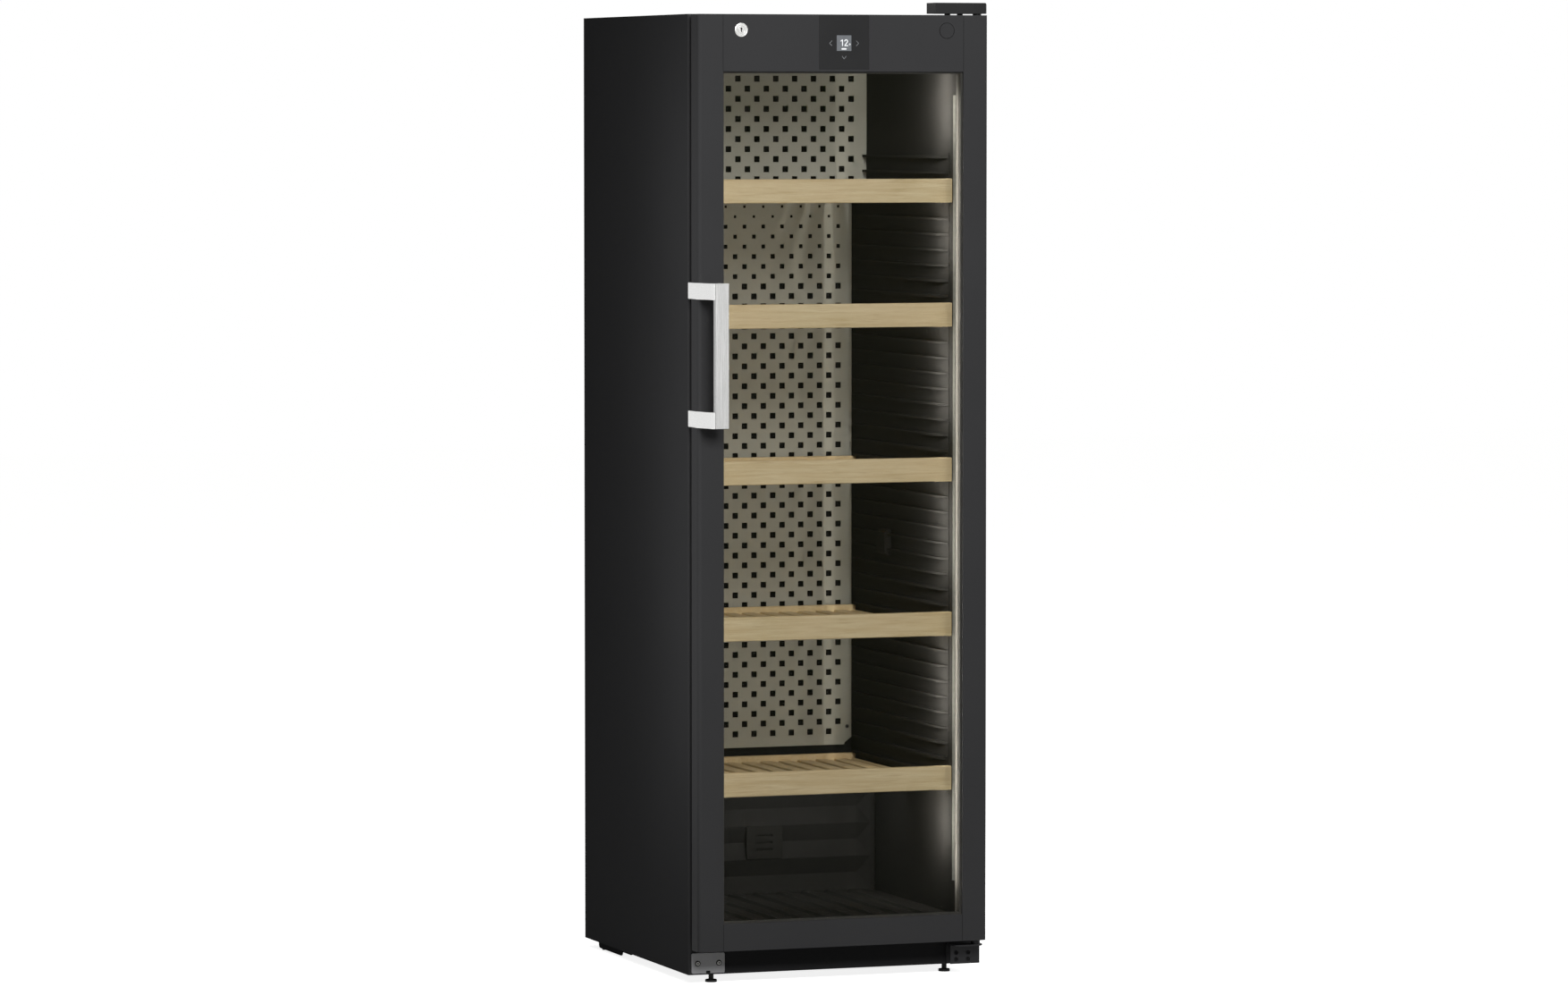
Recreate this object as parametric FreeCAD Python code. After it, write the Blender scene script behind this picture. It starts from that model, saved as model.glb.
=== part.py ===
import FreeCAD, Part
import os
from FreeCAD import Vector

# Millimetres. While it is drawn, x runs to the right, y to the back and z up from the floor,
# with x = 0 in the middle of the cabinet and y = 0 on the front face of the closed door.

# Housing
cabinet_width = 597.0
housing_depth = 648.0
housing_bottom = 17.8
housing_height = 1859.9
sheet = 1.0
sheet_bend = 4.0
side_return = 22.0
back_return = 15.0
base_sheet = 1.5

# Insulation and liner
wall_thickness = 42.5
roof_thickness = 62.7
floor_thickness = 95.2
back_thickness = 62.0
liner_sheet = 1.5
step_depth = 136.0
step_height = 232.0
step_insulation = 40.0

# Ribs that carry the shelves
rib_pitch = 30.35
rib_top_gap = 205.0
rib_thickness = 5.0
rib_reach = 10.0
rib_base = 1.0
rib_first_height = 246.0
rib_length = 525.0
rib_back_gap = 25.0
rib_taper = 46.0
rib_strip_margin = 6.0
rib_cut_gap = 0.5

# Beech shelves: the top one counted from the last rib down, the others from the first rib up
top_shelf_ribs_down = 3
lower_shelf_ribs = (30, 20, 10, 0)
shelf_side_gap = 1.5
shelf_front_setback = 16.0
shelf_depth = 553.0
front_rail_height = 46.6
front_rail_depth = 18.0
rear_rail_height = 24.6
rear_rail_depth = 12.0
side_rail_width = 10.0
slat_width = 26.0
slat_thickness = 14.0
slat_pitch = 40.0
wood_edge_radius = 2.0
glide_gap = 0.2

# Perforated panels
hole_pitch = 40.4
hole_row = 20.2
hole_size = 12.0
top_row_sizes = (5.3, 5.3, 8.0, 8.0, 8.0, 9.7, 9.7, 9.7)
hole_margin = 13.5
hole_bottom_margin = 8.0
upper_first_row = 18.4
rear_first_row = 47.3
upper_panel_height = 269.5
upper_panel_depth = 86.0
panel_side_gap = 0.5
rear_panel_side_gap = 20.0
rear_panel_flange = 19.0
rear_panel_depth = 11.0
rear_panel_above_step = 55.0
rear_panel_corner = 14.0
rear_panel_screw_inset = 36.0

# Evaporator
evaporator_side_gap = 36.0
evaporator_sheet = 1.5
evaporator_channel_height = 2.5
evaporator_channel_width = 9.0
evaporator_channel_pitch = 70.0
evaporator_margin = 50.0

# Fan
fan_frame = 150.0
fan_frame_depth = 26.0
fan_bore = 132.0
fan_above_panel_edge = 144.5
fan_hub = 44.0
fan_hub_length = 12.75
fan_blade_gap = 3.0
fan_blade_count = 7
fan_blade_width = 17.0
fan_blade_thickness = 1.6
fan_blade_pitch = 32.0
fan_shaft = 5.0
fan_boss = 18.0
fan_strut = 7.0
fan_strut_depth = 4.0
fan_strut_count = 3
fan_strut_start = 90.0
fan_face_gap = 3.0
running_clearance = 0.05

# Bottom compartment
step_cover_sheet = 1.5
step_cover_bevel = 7.0
groove_pitch = 67.5
groove_depth = 12.0
groove_border = 14.5
groove_end_run = 25.0
groove_above_floor = 40.0
filter_width = 76.0
filter_height = 66.0
filter_x = 13.0
filter_z_above_floor = 108.0
filter_depth = 14.0
filter_gap = 0.5
filter_slot_height = 4.0
filter_slot_length = 34.0
filter_slot_pitch = 14.0
filter_edge_radius = 3.0
tray_base = 2.0
tray_ridge_height = 5.0
tray_ridge_pitch = 51.0
tray_ridge_top = 18.0
tray_ridge_flank = 5.0
tray_gap = 1.0

# Sensor cover on the right wall
sensor_depth = 55.0
sensor_height = 52.0
sensor_reach = 13.0
sensor_y_from_front = 355.0
sensor_z_above_floor = 687.0
sensor_bevel = 6.0

# Light columns
light_width = 13.0
light_thickness = 1.2
light_front_gap = 2.0
light_bottom_gap = 68.0
light_top_gap = 93.0

# Door
door_thickness = 40.0
seal_gap = 20.0
door_bottom = 68.9
door_top_drop = 0.7
stile_width = 51.0
header_height = 110.0
bottom_rail_height = 53.0
door_skin = 3.0
door_wall = 2.0
door_edge_radius = 7.4
glass_cover = 7.0
glass_gap = 0.5
pane = 4.0
pane_gap = 12.0
spacer_width = 8.0
spacer_inset = 2.0
back_cover = 2.5
back_cover_gap = 0.3

# Door seal
gasket_width = 14.0
gasket_waist = 9.0
gasket_foot = 5.0
gasket_head = 5.0
gasket_free_gap = 0.4
gasket_hinge_gap = 4.0

# Control panel
panel_width = 103.0
panel_top_gap = 1.5
panel_bottom_gap = 4.0
panel_fit = 0.2
screen_size = 30.0
screen_below_top = 55.0
screen_sheet = 2.6
board_size = 84.0
board_sheet = 1.6
board_post = 5.0
board_post_length = 6.0
board_post_inset = 6.0

# Lock and the plug that fills the matching hole
lock_from_side = 87.6
lock_from_top = 30.3
lock_rose = 27.0
lock_rose_height = 2.0
lock_barrel = 16.0
lock_barrel_gap = 0.2
lock_barrel_back = 6.0
lock_core = 12.0
lock_core_proud = 0.3
key_slot_width = 1.8
key_slot_height = 7.0
key_slot_depth = 6.0
cam_back = 11.0
cam_thickness = 3.0
cam_width = 10.0
cam_length = 22.0
cam_corner = 3.3
keeper_lip = 2.0
keeper_front = 4.0
keeper_width = 18.0
keeper_web = 3.0
keeper_height = 11.0
keeper_above_axis = 12.0
keeper_base = 2.0
keeper_base_width = 12.0
plug_from_side = 85.8
plug_size = 29.6
plug_proud = 0.5

# Hinges
hinge_inset = 15.5
hinge_y = 20.0
hinge_pin = 10.0
hinge_bush = 17.0
hinge_bush_gap = 0.1
hinge_pin_engagement = 24.0
hinge_gap = 3.0
hinge_plate = 4.0
hinge_plate_front = 8.0
hinge_plate_width = 89.0
hinge_plate_side_gap = 3.5
hinge_lug = 11.0
hinge_lugs_from_side = (62.5, 36.5)
hinge_foot_drop = 36.0
hinge_foot_height = 26.0
hinge_foot_margin = 8.0
hinge_cover_width = 108.0
hinge_cover_front = 2.0
hinge_cover_depth = 49.0
hinge_cover_height = 21.0
hinge_cover_wall = 2.0
hinge_cover_radius = 6.0
hinge_cover_post = 8.0
hinge_cover_side_gap = 0.5
hinge_cover_slot_gap = 0.5
bottom_hinge_width = 61.0
bottom_hinge_side_gap = 1.5
bottom_hinge_bottom = 20.0
bottom_hinge_leaf_top = 60.0
bottom_hinge_sheet = 3.0
bottom_hinge_apron = 34.0
bottom_hinge_leaf_front = 8.0
bottom_hinge_nose_radius = 14.0
bottom_hinge_collar = 18.0
collar_gap = 0.3
bottom_hinge_screw_left = 12.0
bottom_hinge_screw_right = 24.0
bottom_hinge_screw_low = 9.0
bottom_hinge_screw_high = 18.0
access_hole = 9.0

# Corner plate
corner_plate_inset = 5.8
corner_plate_width = 67.4
corner_plate_height = 39.4
corner_plate_bottom = 20.6
corner_plate_sheet = 3.0
corner_notch_width = 9.0
corner_notch_height = 5.0
corner_plate_screw_inset = 12.0

# Screws
screw_head = 8.0
screw_head_height = 2.0
screw_shank = 4.0
screw_length = 9.0
screw_clearance = 0.15

# Handle
handle_bottom = 1083.0
handle_height = 278.5
handle_reach = 55.0
bar_width = 27.3
bar_thickness = 14.0
bar_from_side = 16.5
bar_edge_radius = 1.5
arm_height = 31.5
arm_thickness = 3.2
arm_gap = 0.3
arm_back = 49.5
arm_bend = 6.0
arm_front_inset = 8.3
arm_chamfer = 5.5
arm_edge_bevel = 1.0
handle_travel = 6.0
lug_length = 12.0
lug_height = 10.0
lug_reach = 8.5
lug_front = 16.0
guide_gap = 0.3
guide_thickness = 3.0
guide_length = 26.0
guide_width = 16.0
plunger_travel = 3.0
plunger_width = 8.0
plunger_inset = 9.5
plunger_front = 29.0
plunger_stop_gap = 1.5

# Feet and rollers
foot_from_side = 55.5
foot_setback = 27.0
foot_disc = 23.0
foot_disc_height = 5.0
foot_disc_edge = 1.25
foot_stem = 10.0
foot_stem_length = 40.0
foot_boss = 22.0
foot_boss_height = 12.0
foot_lift = 12.0
roller_diameter = 28.0
roller_width = 18.0
roller_from_side = 22.5
roller_from_back = 78.0
roller_pin = 6.0
roller_side_gap = 0.5
roller_well_gap = 3.0
roller_cheek = 2.0
roller_bracket_length = 150.0
roller_bracket_clear = 3.0
roller_bracket_behind_axle = 20.0
roller_bracket_radius = 9.0

# Machine room
compressor_length = 190.0
compressor_depth = 130.0
compressor_height = 150.0
compressor_radius = 40.0
compressor_wall = 3.0
compressor_from_side = 158.5
compressor_plate = 3.0
compressor_plate_overhang = 12.0
compressor_pipe = 8.0
compressor_pipe_bore = 5.0
compressor_pipe_length = 30.0
compressor_sink = 8.0
mount_diameter = 24.0
mount_height = 20.0
mount_inset = 16.0
drip_tray_length = 150.0
drip_tray_depth = 96.0
drip_tray_height = 26.0
drip_tray_wall = 1.5
condenser_tube = 6.0
condenser_runs = 6
condenser_pitch = 34.0
condenser_from_side = 43.5
condenser_right = 20.0
condenser_bottom_gap = 40.0
condenser_from_back = 62.0
condenser_stay_width = 14.0
condenser_stay_sheet = 2.0
condenser_stay_gap = 0.3
condenser_stay_inset = 45.0
louvre_width = 70.0
louvre_height = 6.0
louvre_pitch_x = 88.0
louvre_pitch_z = 17.0
louvre_margin = 36.0
inlet_width = 30.0
inlet_height = 23.0
inlet_depth = 26.0
inlet_wall = 3.0
inlet_floor = 4.0
inlet_pin_width = 4.0
inlet_pin_thickness = 2.0
inlet_pin_length = 12.0
inlet_pin_pitch = 7.0
inlet_pin_drop = 3.5
inlet_from_side = 48.5
inlet_z = 46.0
inlet_gap = 0.2

# Places worked out from the sizes above
near = 1e-4
X = Vector(1, 0, 0)
Y = Vector(0, 1, 0)
Z = Vector(0, 0, 1)
FRONTWARD = Vector(0, -1, 0)
DOWN = Vector(0, 0, -1)
half_width = cabinet_width / 2
housing_front = door_thickness + seal_gap
housing_back = housing_front + housing_depth
housing_top = housing_bottom + housing_height
inner_half = half_width - wall_thickness
liner_flange = wall_thickness - side_return
liner_floor = housing_bottom + floor_thickness
liner_ceiling = housing_top - roof_thickness
liner_back = housing_back - back_thickness
step_front = liner_back - step_depth
step_top = liner_floor + step_height
base_top = housing_bottom + base_sheet
machine_front = step_front + step_insulation
machine_top = step_top - step_insulation
flange_half = half_width - side_return
flange_top = liner_ceiling + liner_flange
flange_bottom = liner_floor - liner_flange

rib_tip = inner_half - rib_reach
rib_wall = inner_half - rib_base
rib_first_top = liner_floor + rib_first_height
rib_count = int((liner_ceiling - rib_top_gap - rib_first_top) / rib_pitch) + 1
rib_last_top = rib_first_top + rib_pitch * (rib_count - 1)
shelf_ribs = (rib_count - 1 - top_shelf_ribs_down,) + lower_shelf_ribs
rib_back = liner_back - rib_back_gap
rib_front = rib_back - rib_length
shelf_half = rib_wall - shelf_side_gap
shelf_front = housing_front + shelf_front_setback
shelf_back = shelf_front + shelf_depth

upper_panel_front = liner_back - upper_panel_depth
upper_panel_bottom = liner_ceiling - upper_panel_height
rear_panel_half = inner_half - rear_panel_side_gap
evaporator_half = rear_panel_half - evaporator_side_gap
rear_panel_front = liner_back - rear_panel_depth
rear_panel_bottom = step_top + rear_panel_above_step
fan_z = upper_panel_bottom + fan_above_panel_edge
fan_front = upper_panel_front + sheet

door_top = housing_top - door_top_drop
glass_half = half_width - stile_width
glass_top = door_top - header_height
glass_bottom = door_bottom + bottom_rail_height
seat_half = glass_half + glass_cover
seat_top = glass_top + glass_cover
seat_bottom = glass_bottom - glass_cover
cover_front = door_thickness - back_cover
glass_back = door_skin + 2 * pane + pane_gap
panel_bottom = glass_top + panel_bottom_gap
panel_top = door_top - panel_top_gap
screen_z = door_top - screen_below_top
lock_x = lock_from_side - half_width
lock_z = door_top - lock_from_top
plug_x = half_width - plug_from_side
hinge_x = half_width - hinge_inset
gasket_half = hinge_x - gasket_hinge_gap
gasket_overlap = gasket_half - inner_half
hinge_plate_bottom = door_top + hinge_gap
hinge_plate_right = half_width - hinge_plate_side_gap
hinge_plate_left = hinge_plate_right - hinge_plate_width
hinge_cover_right = half_width - hinge_cover_side_gap
hinge_cover_left = hinge_cover_right - hinge_cover_width
hinge_lug_spots = [half_width - inset for inset in hinge_lugs_from_side]
bottom_hinge_right = half_width - bottom_hinge_side_gap
bottom_hinge_left = bottom_hinge_right - bottom_hinge_width
arm_inner = half_width + arm_gap
arm_outer = arm_inner + arm_thickness
bar_left = half_width - bar_from_side
handle_top = handle_bottom + handle_height
arm_bottoms = (handle_bottom, handle_top - arm_height)
foot_x = half_width - foot_from_side
foot_y = housing_front + foot_setback
roller_x = half_width - roller_from_side
roller_y = housing_back - roller_from_back
compressor_x = half_width - compressor_from_side
condenser_left = half_width - condenser_from_side
inlet_x = inlet_from_side - half_width
origin = Vector((half_width - arm_outer) / 2, (housing_back - handle_reach) / 2, 0)


def block(x0, x1, y0, y1, z0, z1):
    """Box between two corners."""
    return Part.makeBox(x1 - x0, y1 - y0, z1 - z0, Vector(x0, y0, z0))


def rod(diameter, start, direction, length):
    """Round bar from a point along a direction."""
    return Part.makeCylinder(diameter / 2, length, start, direction)


def prism(points, run):
    """Closed outline of points carried along a run."""
    corners = [Vector(*point) for point in points]
    return Part.Face(Part.makePolygon(corners + corners[:1])).extrude(run)


def straight_edges(shape, axis, **place):
    """Straight edges along an axis, whose middle lies at the coordinates that are given."""
    found = []
    for edge in shape.Edges:
        run = edge.Vertexes[-1].Point - edge.Vertexes[0].Point
        if run.Length < near or abs(abs(run * axis) - run.Length) > near:
            continue
        middle = edge.CenterOfMass
        if all(abs(getattr(middle, name) - value) < near for name, value in place.items()):
            found.append(edge)
    return found


def rounded(shape, radius, axis, **place):
    """Shape with its straight edges along an axis rounded."""
    return shape.makeFillet(radius, straight_edges(shape, axis, **place))


def level_edges(shape, points):
    """Level edges whose two ends stand over or under two of the points."""
    def over(vertex):
        return any(abs(vertex.X - x) < near and abs(vertex.Y - y) < near for x, y, z in points)

    return [edge for edge in shape.Edges
            if edge.BoundBox.ZLength < near and all(over(vertex) for vertex in edge.Vertexes)]


def mirrored(shape):
    """The same shape on the other side of the cabinet."""
    return shape.mirror(Vector(0, 0, 0), X)


def frame_ring(outer_half, inner_half_width, y0, y1, outer_z, inner_z):
    """Upright rectangular ring between an outer and an inner outline."""
    outer = block(-outer_half, outer_half, y0, y1, *outer_z)
    return outer.cut(block(-inner_half_width, inner_half_width, y0, y1, *inner_z))


def plan_block(inset, z0, z1):
    """Block with the housing's rounded plan, drawn in from it on every side."""
    half = half_width - inset
    body = block(-half, half, housing_front + inset, housing_back - inset, z0, z1)
    return rounded(body, sheet_bend - inset, Z)


# Screws: a seat for the underside of the head and the way the head faces
def screw_spots():
    """Seat and head direction of every screw in the housing."""
    plate_left = corner_plate_inset - half_width
    plate_z = corner_plate_bottom + corner_plate_height / 2
    plate_y = housing_front - corner_plate_sheet
    spots = [(Vector(plate_left + corner_plate_screw_inset, plate_y, plate_z), FRONTWARD)]
    plate_right = plate_left + corner_plate_width
    spots.append((Vector(plate_right - corner_plate_screw_inset, plate_y, plate_z), FRONTWARD))
    spots += [(spot, FRONTWARD) for spot in bottom_hinge_screw_seats()]
    foot_z = hinge_plate_bottom - hinge_foot_drop + hinge_foot_height / 2
    spots += [(Vector(x, housing_front - hinge_plate, foot_z), FRONTWARD) for x in hinge_lug_spots]
    flange_x = rear_panel_half + rear_panel_flange / 2
    for z in (rear_panel_bottom + rear_panel_screw_inset, upper_panel_bottom - rear_panel_screw_inset):
        spots += [(Vector(side * flange_x, liner_back - sheet, z), FRONTWARD) for side in (-1, 1)]
    keeper_z = keeper_bottom() + keeper_height / 2
    keeper_x = keeper_left() - keeper_base_width / 2
    spots.append((Vector(keeper_x, housing_front - keeper_base, keeper_z), FRONTWARD))
    return spots


def bottom_hinge_screw_seats():
    """Seats of the four screws that hold the bottom hinge bracket to the plinth."""
    seat_y = housing_front - bottom_hinge_sheet
    rows = (bottom_hinge_bottom + bottom_hinge_screw_low, bottom_hinge_leaf_top - bottom_hinge_screw_high)
    columns = (bottom_hinge_left + bottom_hinge_screw_left, bottom_hinge_right - bottom_hinge_screw_right)
    return [Vector(x, seat_y, z) for x in columns for z in rows]


def keeper_left():
    return lock_x - keeper_width / 2 - keeper_web


def keeper_bottom():
    return lock_z + keeper_above_axis


def body_screws():
    solids = []
    for seat, outward in screw_spots():
        head = rod(screw_head, seat, outward, screw_head_height)
        head = head.makeFillet(screw_head_height / 2, [head.Edges[0]])
        solids.append(head.fuse(rod(screw_shank, seat, outward * -1, screw_length)).removeSplitter())
    return Part.makeCompound(solids)


def drilled(shape):
    """Shape with the screws' holes cut from it."""
    width = screw_shank + 2 * screw_clearance
    depth = screw_length + screw_clearance
    holes = [rod(width, seat, outward * -1, depth) for seat, outward in screw_spots()]
    return shape.cut(Part.makeCompound(holes))


# Housing
def side_panel():
    """Left side sheet with its front and back returns."""
    tube = plan_block(0, housing_bottom, housing_top).cut(plan_block(sheet, housing_bottom, housing_top))
    middle = (housing_front + housing_back) / 2
    front = block(-half_width, side_return - half_width, housing_front, middle, housing_bottom, housing_top)
    back = block(-half_width, back_return - half_width, middle, housing_back, housing_bottom, housing_top)
    return tube.common(front.fuse(back)).removeSplitter()


def top_panel():
    roof = plan_block(sheet, housing_top - sheet, housing_top)
    lip = block(-flange_half, flange_half, housing_front, housing_front + sheet, flange_top, housing_top)
    return drilled(roof.fuse(lip).removeSplitter())


def back_panel():
    half = half_width - back_return
    return block(-half, half, housing_back - sheet, housing_back, machine_top, housing_top)


def plinth():
    back = housing_front + sheet
    return drilled(block(-flange_half, flange_half, housing_front, back, housing_bottom, flange_bottom))


def base_pan():
    """Floor sheet with the foot bosses and the roller brackets welded on."""
    pan = plan_block(sheet, housing_bottom, base_top)
    for side in (-1, 1):
        spot = Vector(side * foot_x, foot_y, housing_bottom)
        pan = pan.fuse(rod(foot_boss, spot, Z, base_sheet + foot_boss_height))
        pan = pan.cut(rod(foot_stem + 2 * running_clearance, spot, Z, base_sheet + foot_boss_height))
        pan = pan.cut(roller_well(side))
        pan = pan.fuse(roller_bracket(side))
    return pan.removeSplitter()


def roller_well(side):
    """Room for one roller in the floor sheet."""
    reach = roller_diameter / 2 + roller_well_gap
    half = roller_width / 2 + roller_side_gap
    x = side * roller_x
    return block(x - half, x + half, roller_y - reach, roller_y + reach, roller_bracket_clear, base_top)


def roller_bracket(side):
    """Channel under the floor sheet with the pin that one roller turns on."""
    half = roller_width / 2 + roller_side_gap + roller_cheek
    x = side * roller_x
    back = roller_y + roller_bracket_behind_axle
    front = back - roller_bracket_length
    channel = block(x - half, x + half, front, back, roller_bracket_clear, housing_bottom)
    channel = rounded(channel, roller_bracket_radius, X, z=roller_bracket_clear)
    inner = half - roller_cheek
    hollow = block(x - inner, x + inner, front, back, roller_bracket_clear, housing_bottom - roller_cheek)
    pin = rod(roller_pin, Vector(x - half, roller_y, roller_diameter / 2), X, 2 * half)
    return channel.cut(hollow).cut(roller_well(side)).fuse(pin)


def cavity(grow):
    """Space inside the liner, grown by a wall on every side but the front."""
    floor = liner_floor - grow
    ceiling = liner_ceiling + grow
    half = inner_half + grow
    outline = [
        (-half, housing_front, floor),
        (-half, step_front + grow, floor),
        (-half, step_front + grow, step_top - grow),
        (-half, liner_back + grow, step_top - grow),
        (-half, liner_back + grow, ceiling),
        (-half, housing_front, ceiling),
    ]
    return prism(outline, X * (2 * half))


def liner_outside():
    """Liner and its flange with the inside filled."""
    flange = block(-flange_half, flange_half, housing_front, housing_front + liner_sheet,
                   flange_bottom, flange_top)
    return cavity(liner_sheet).fuse(flange)


def inner_liner():
    return drilled(liner_outside().cut(cavity(0)).removeSplitter())


def insulation_foam():
    """Foam that fills the room between the sheets and the liner."""
    foam = plan_block(sheet, base_top, housing_top - sheet).cut(liner_outside())
    foam = foam.cut(block(-half_width, half_width, machine_front, housing_back, housing_bottom, machine_top))
    pocket_length = foot_stem_length + foot_lift
    for side in (-1, 1):
        spot = Vector(side * foot_x, foot_y, housing_bottom)
        foam = foam.cut(rod(foot_boss, spot, Z, base_sheet + foot_boss_height))
        foam = foam.cut(rod(foot_stem + 2 * guide_gap, spot, Z, pocket_length))
    return drilled(foam)


# Inside of the cabinet
def rib(count):
    """One rib of the right wall, thinning to the front."""
    top = rib_first_top + rib_pitch * count
    outline = [
        (rib_wall, rib_front, top - rib_thickness),
        (rib_tip, rib_front + rib_taper, top - rib_thickness),
        (rib_tip, rib_back, top - rib_thickness),
        (rib_wall, rib_back, top - rib_thickness),
    ]
    return prism(outline, Z * rib_thickness)


def rib_strips():
    """Strip on each side wall and its ribs, cut away for the fan cover and the sensor cover."""
    low = rib_first_top - rib_thickness - rib_strip_margin
    strip = block(rib_wall, inner_half, rib_front, rib_back, low, rib_last_top + rib_strip_margin)
    fan_cover_room = block(0, inner_half, upper_panel_front - rib_cut_gap, liner_back,
                           upper_panel_bottom - rib_cut_gap, liner_ceiling)
    right = [piece.cut(fan_cover_room) for piece in [strip] + [rib(count) for count in range(rib_count)]]
    left = [mirrored(piece) for piece in right]
    right = [piece.cut(sensor_room(rib_cut_gap)) for piece in right]
    return Part.makeCompound([solid for piece in left + right for solid in piece.Solids])


def sensor_room(grow):
    """Place of the sensor cover on the right wall."""
    y0 = housing_front + sensor_y_from_front
    z0 = liner_floor + sensor_z_above_floor
    return block(rib_wall - sensor_reach - grow, rib_wall, y0 - grow, y0 + sensor_depth + grow,
                 z0 - grow, z0 + sensor_height + grow)


def sensor_cover():
    cover = sensor_room(0)
    face = rib_wall - sensor_reach
    face_edges = [edge for edge in cover.Edges if abs(edge.CenterOfMass.x - face) < near]
    return cover.makeChamfer(sensor_bevel, face_edges)


def light_columns():
    """Diffuser strip on each side wall, just inside the door opening."""
    y0 = housing_front + light_front_gap
    strip = block(inner_half - light_thickness, inner_half, y0, y0 + light_width,
                  liner_floor + light_bottom_gap, liner_ceiling - light_top_gap)
    strip = rounded(strip, light_thickness / 2, Z, x=inner_half - light_thickness)
    return Part.makeCompound([mirrored(strip), strip])


def sheet_wire(half, y, bottom, top):
    """Outline of an upright sheet standing across y."""
    corners = [Vector(x, y, z) for x, z in ((-half, bottom), (half, bottom), (half, top), (-half, top))]
    return Part.makePolygon(corners + corners[:1])


def hole_wire(x, y, z, width, height):
    """Rectangular hole's outline standing across y, turned against the sheet's own outline."""
    turns = ((-1, -1), (-1, 1), (1, 1), (1, -1))
    corners = [Vector(x + dx * width / 2, y, z + dz * height / 2) for dx, dz in turns]
    return Part.makePolygon(corners + corners[:1])


def perforated_sheet(half, y, bottom, top, first_row, row_sizes):
    """Upright sheet with staggered square holes; row sizes count from the top row down."""
    wires = [sheet_wire(half, y, bottom, top)]
    rows = int((top - bottom - first_row - hole_bottom_margin) / hole_row) + 1
    for row in range(rows):
        size = row_sizes[row] if row < len(row_sizes) else hole_size
        shift = hole_pitch / 2 * ((row + 1) % 2)
        columns = int((half - hole_margin - shift) / hole_pitch)
        places = [shift + hole_pitch * column for column in range(columns + 1)]
        z = top - first_row - hole_row * row
        for x in sorted({side * place for place in places for side in (-1, 1)}):
            wires.append(hole_wire(x, y, z, size, size))
    return Part.Face(wires).extrude(Y * sheet)


def upper_air_panel():
    """Fan cover under the ceiling: perforated front with a plain underside."""
    half = inner_half - panel_side_gap
    front = perforated_sheet(half, upper_panel_front, upper_panel_bottom, liner_ceiling, upper_first_row, ())
    under = block(-half, half, upper_panel_front + sheet, liner_back, upper_panel_bottom,
                  upper_panel_bottom + sheet)
    return front.fuse(under).removeSplitter()


def rear_air_panel():
    """Shallow perforated tray in front of the evaporator."""
    top = upper_panel_bottom
    face = perforated_sheet(rear_panel_half, rear_panel_front, rear_panel_bottom, top, rear_first_row,
                            top_row_sizes)
    panel = [face]
    for side in (-1, 1):
        inner = side * (rear_panel_half - sheet)
        outer = side * rear_panel_half
        edge = side * (rear_panel_half + rear_panel_flange)
        left, right = sorted((inner, outer))
        panel.append(block(left, right, rear_panel_front + sheet, liner_back, rear_panel_bottom, top))
        wing = [(outer, liner_back - sheet, rear_panel_bottom),
                (edge, liner_back - sheet, rear_panel_bottom + rear_panel_corner),
                (edge, liner_back - sheet, top),
                (outer, liner_back - sheet, top)]
        panel.append(prism(wing, Y * sheet))
    return drilled(panel[0].fuse(panel[1:]).removeSplitter())


def evaporator_plate():
    """Roll-bonded plate on the back wall with its raised refrigerant channels."""
    bottom = rear_panel_bottom + evaporator_margin
    top = upper_panel_bottom - evaporator_margin
    front = liner_back - evaporator_sheet
    plate = block(-evaporator_half, evaporator_half, front, liner_back, bottom, top)
    runs = int((top - bottom - evaporator_channel_width) / evaporator_channel_pitch)
    reach = evaporator_half - evaporator_channel_pitch / 2
    channels = []
    for run in range(runs + 1):
        z = bottom + evaporator_channel_pitch * run
        channels.append(block(-reach, reach, front - evaporator_channel_height, front,
                              z, z + evaporator_channel_width))
        if run < runs:
            x = reach if run % 2 else -reach - evaporator_channel_width
            channels.append(block(x, x + evaporator_channel_width, front - evaporator_channel_height, front,
                                  z, z + evaporator_channel_pitch + evaporator_channel_width))
    return plate.fuse(channels).removeSplitter()


def fan_housing():
    """Square frame with a round bore and three struts that carry the bearing boss."""
    half = fan_frame / 2
    back = fan_front + fan_frame_depth
    frame = block(-half, half, fan_front, back, fan_z - half, fan_z + half)
    frame = frame.cut(rod(fan_bore, Vector(0, fan_front, fan_z), Y, fan_frame_depth))
    boss_length = fan_frame_depth - fan_face_gap - fan_blade_width
    boss = rod(fan_boss, Vector(0, back - boss_length, fan_z), Y, boss_length)
    struts = []
    for turn in range(fan_strut_count):
        strut = block(0, fan_bore / 2 + fan_strut, back - fan_strut_depth, back,
                      fan_z - fan_strut / 2, fan_z + fan_strut / 2)
        strut.rotate(Vector(0, 0, fan_z), Y, fan_strut_start + 360 / fan_strut_count * turn)
        struts.append(strut)
    bore = rod(fan_shaft + 2 * running_clearance, Vector(0, fan_front, fan_z), Y, fan_frame_depth)
    return frame.fuse([boss] + struts).removeSplitter().cut(bore)


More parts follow.
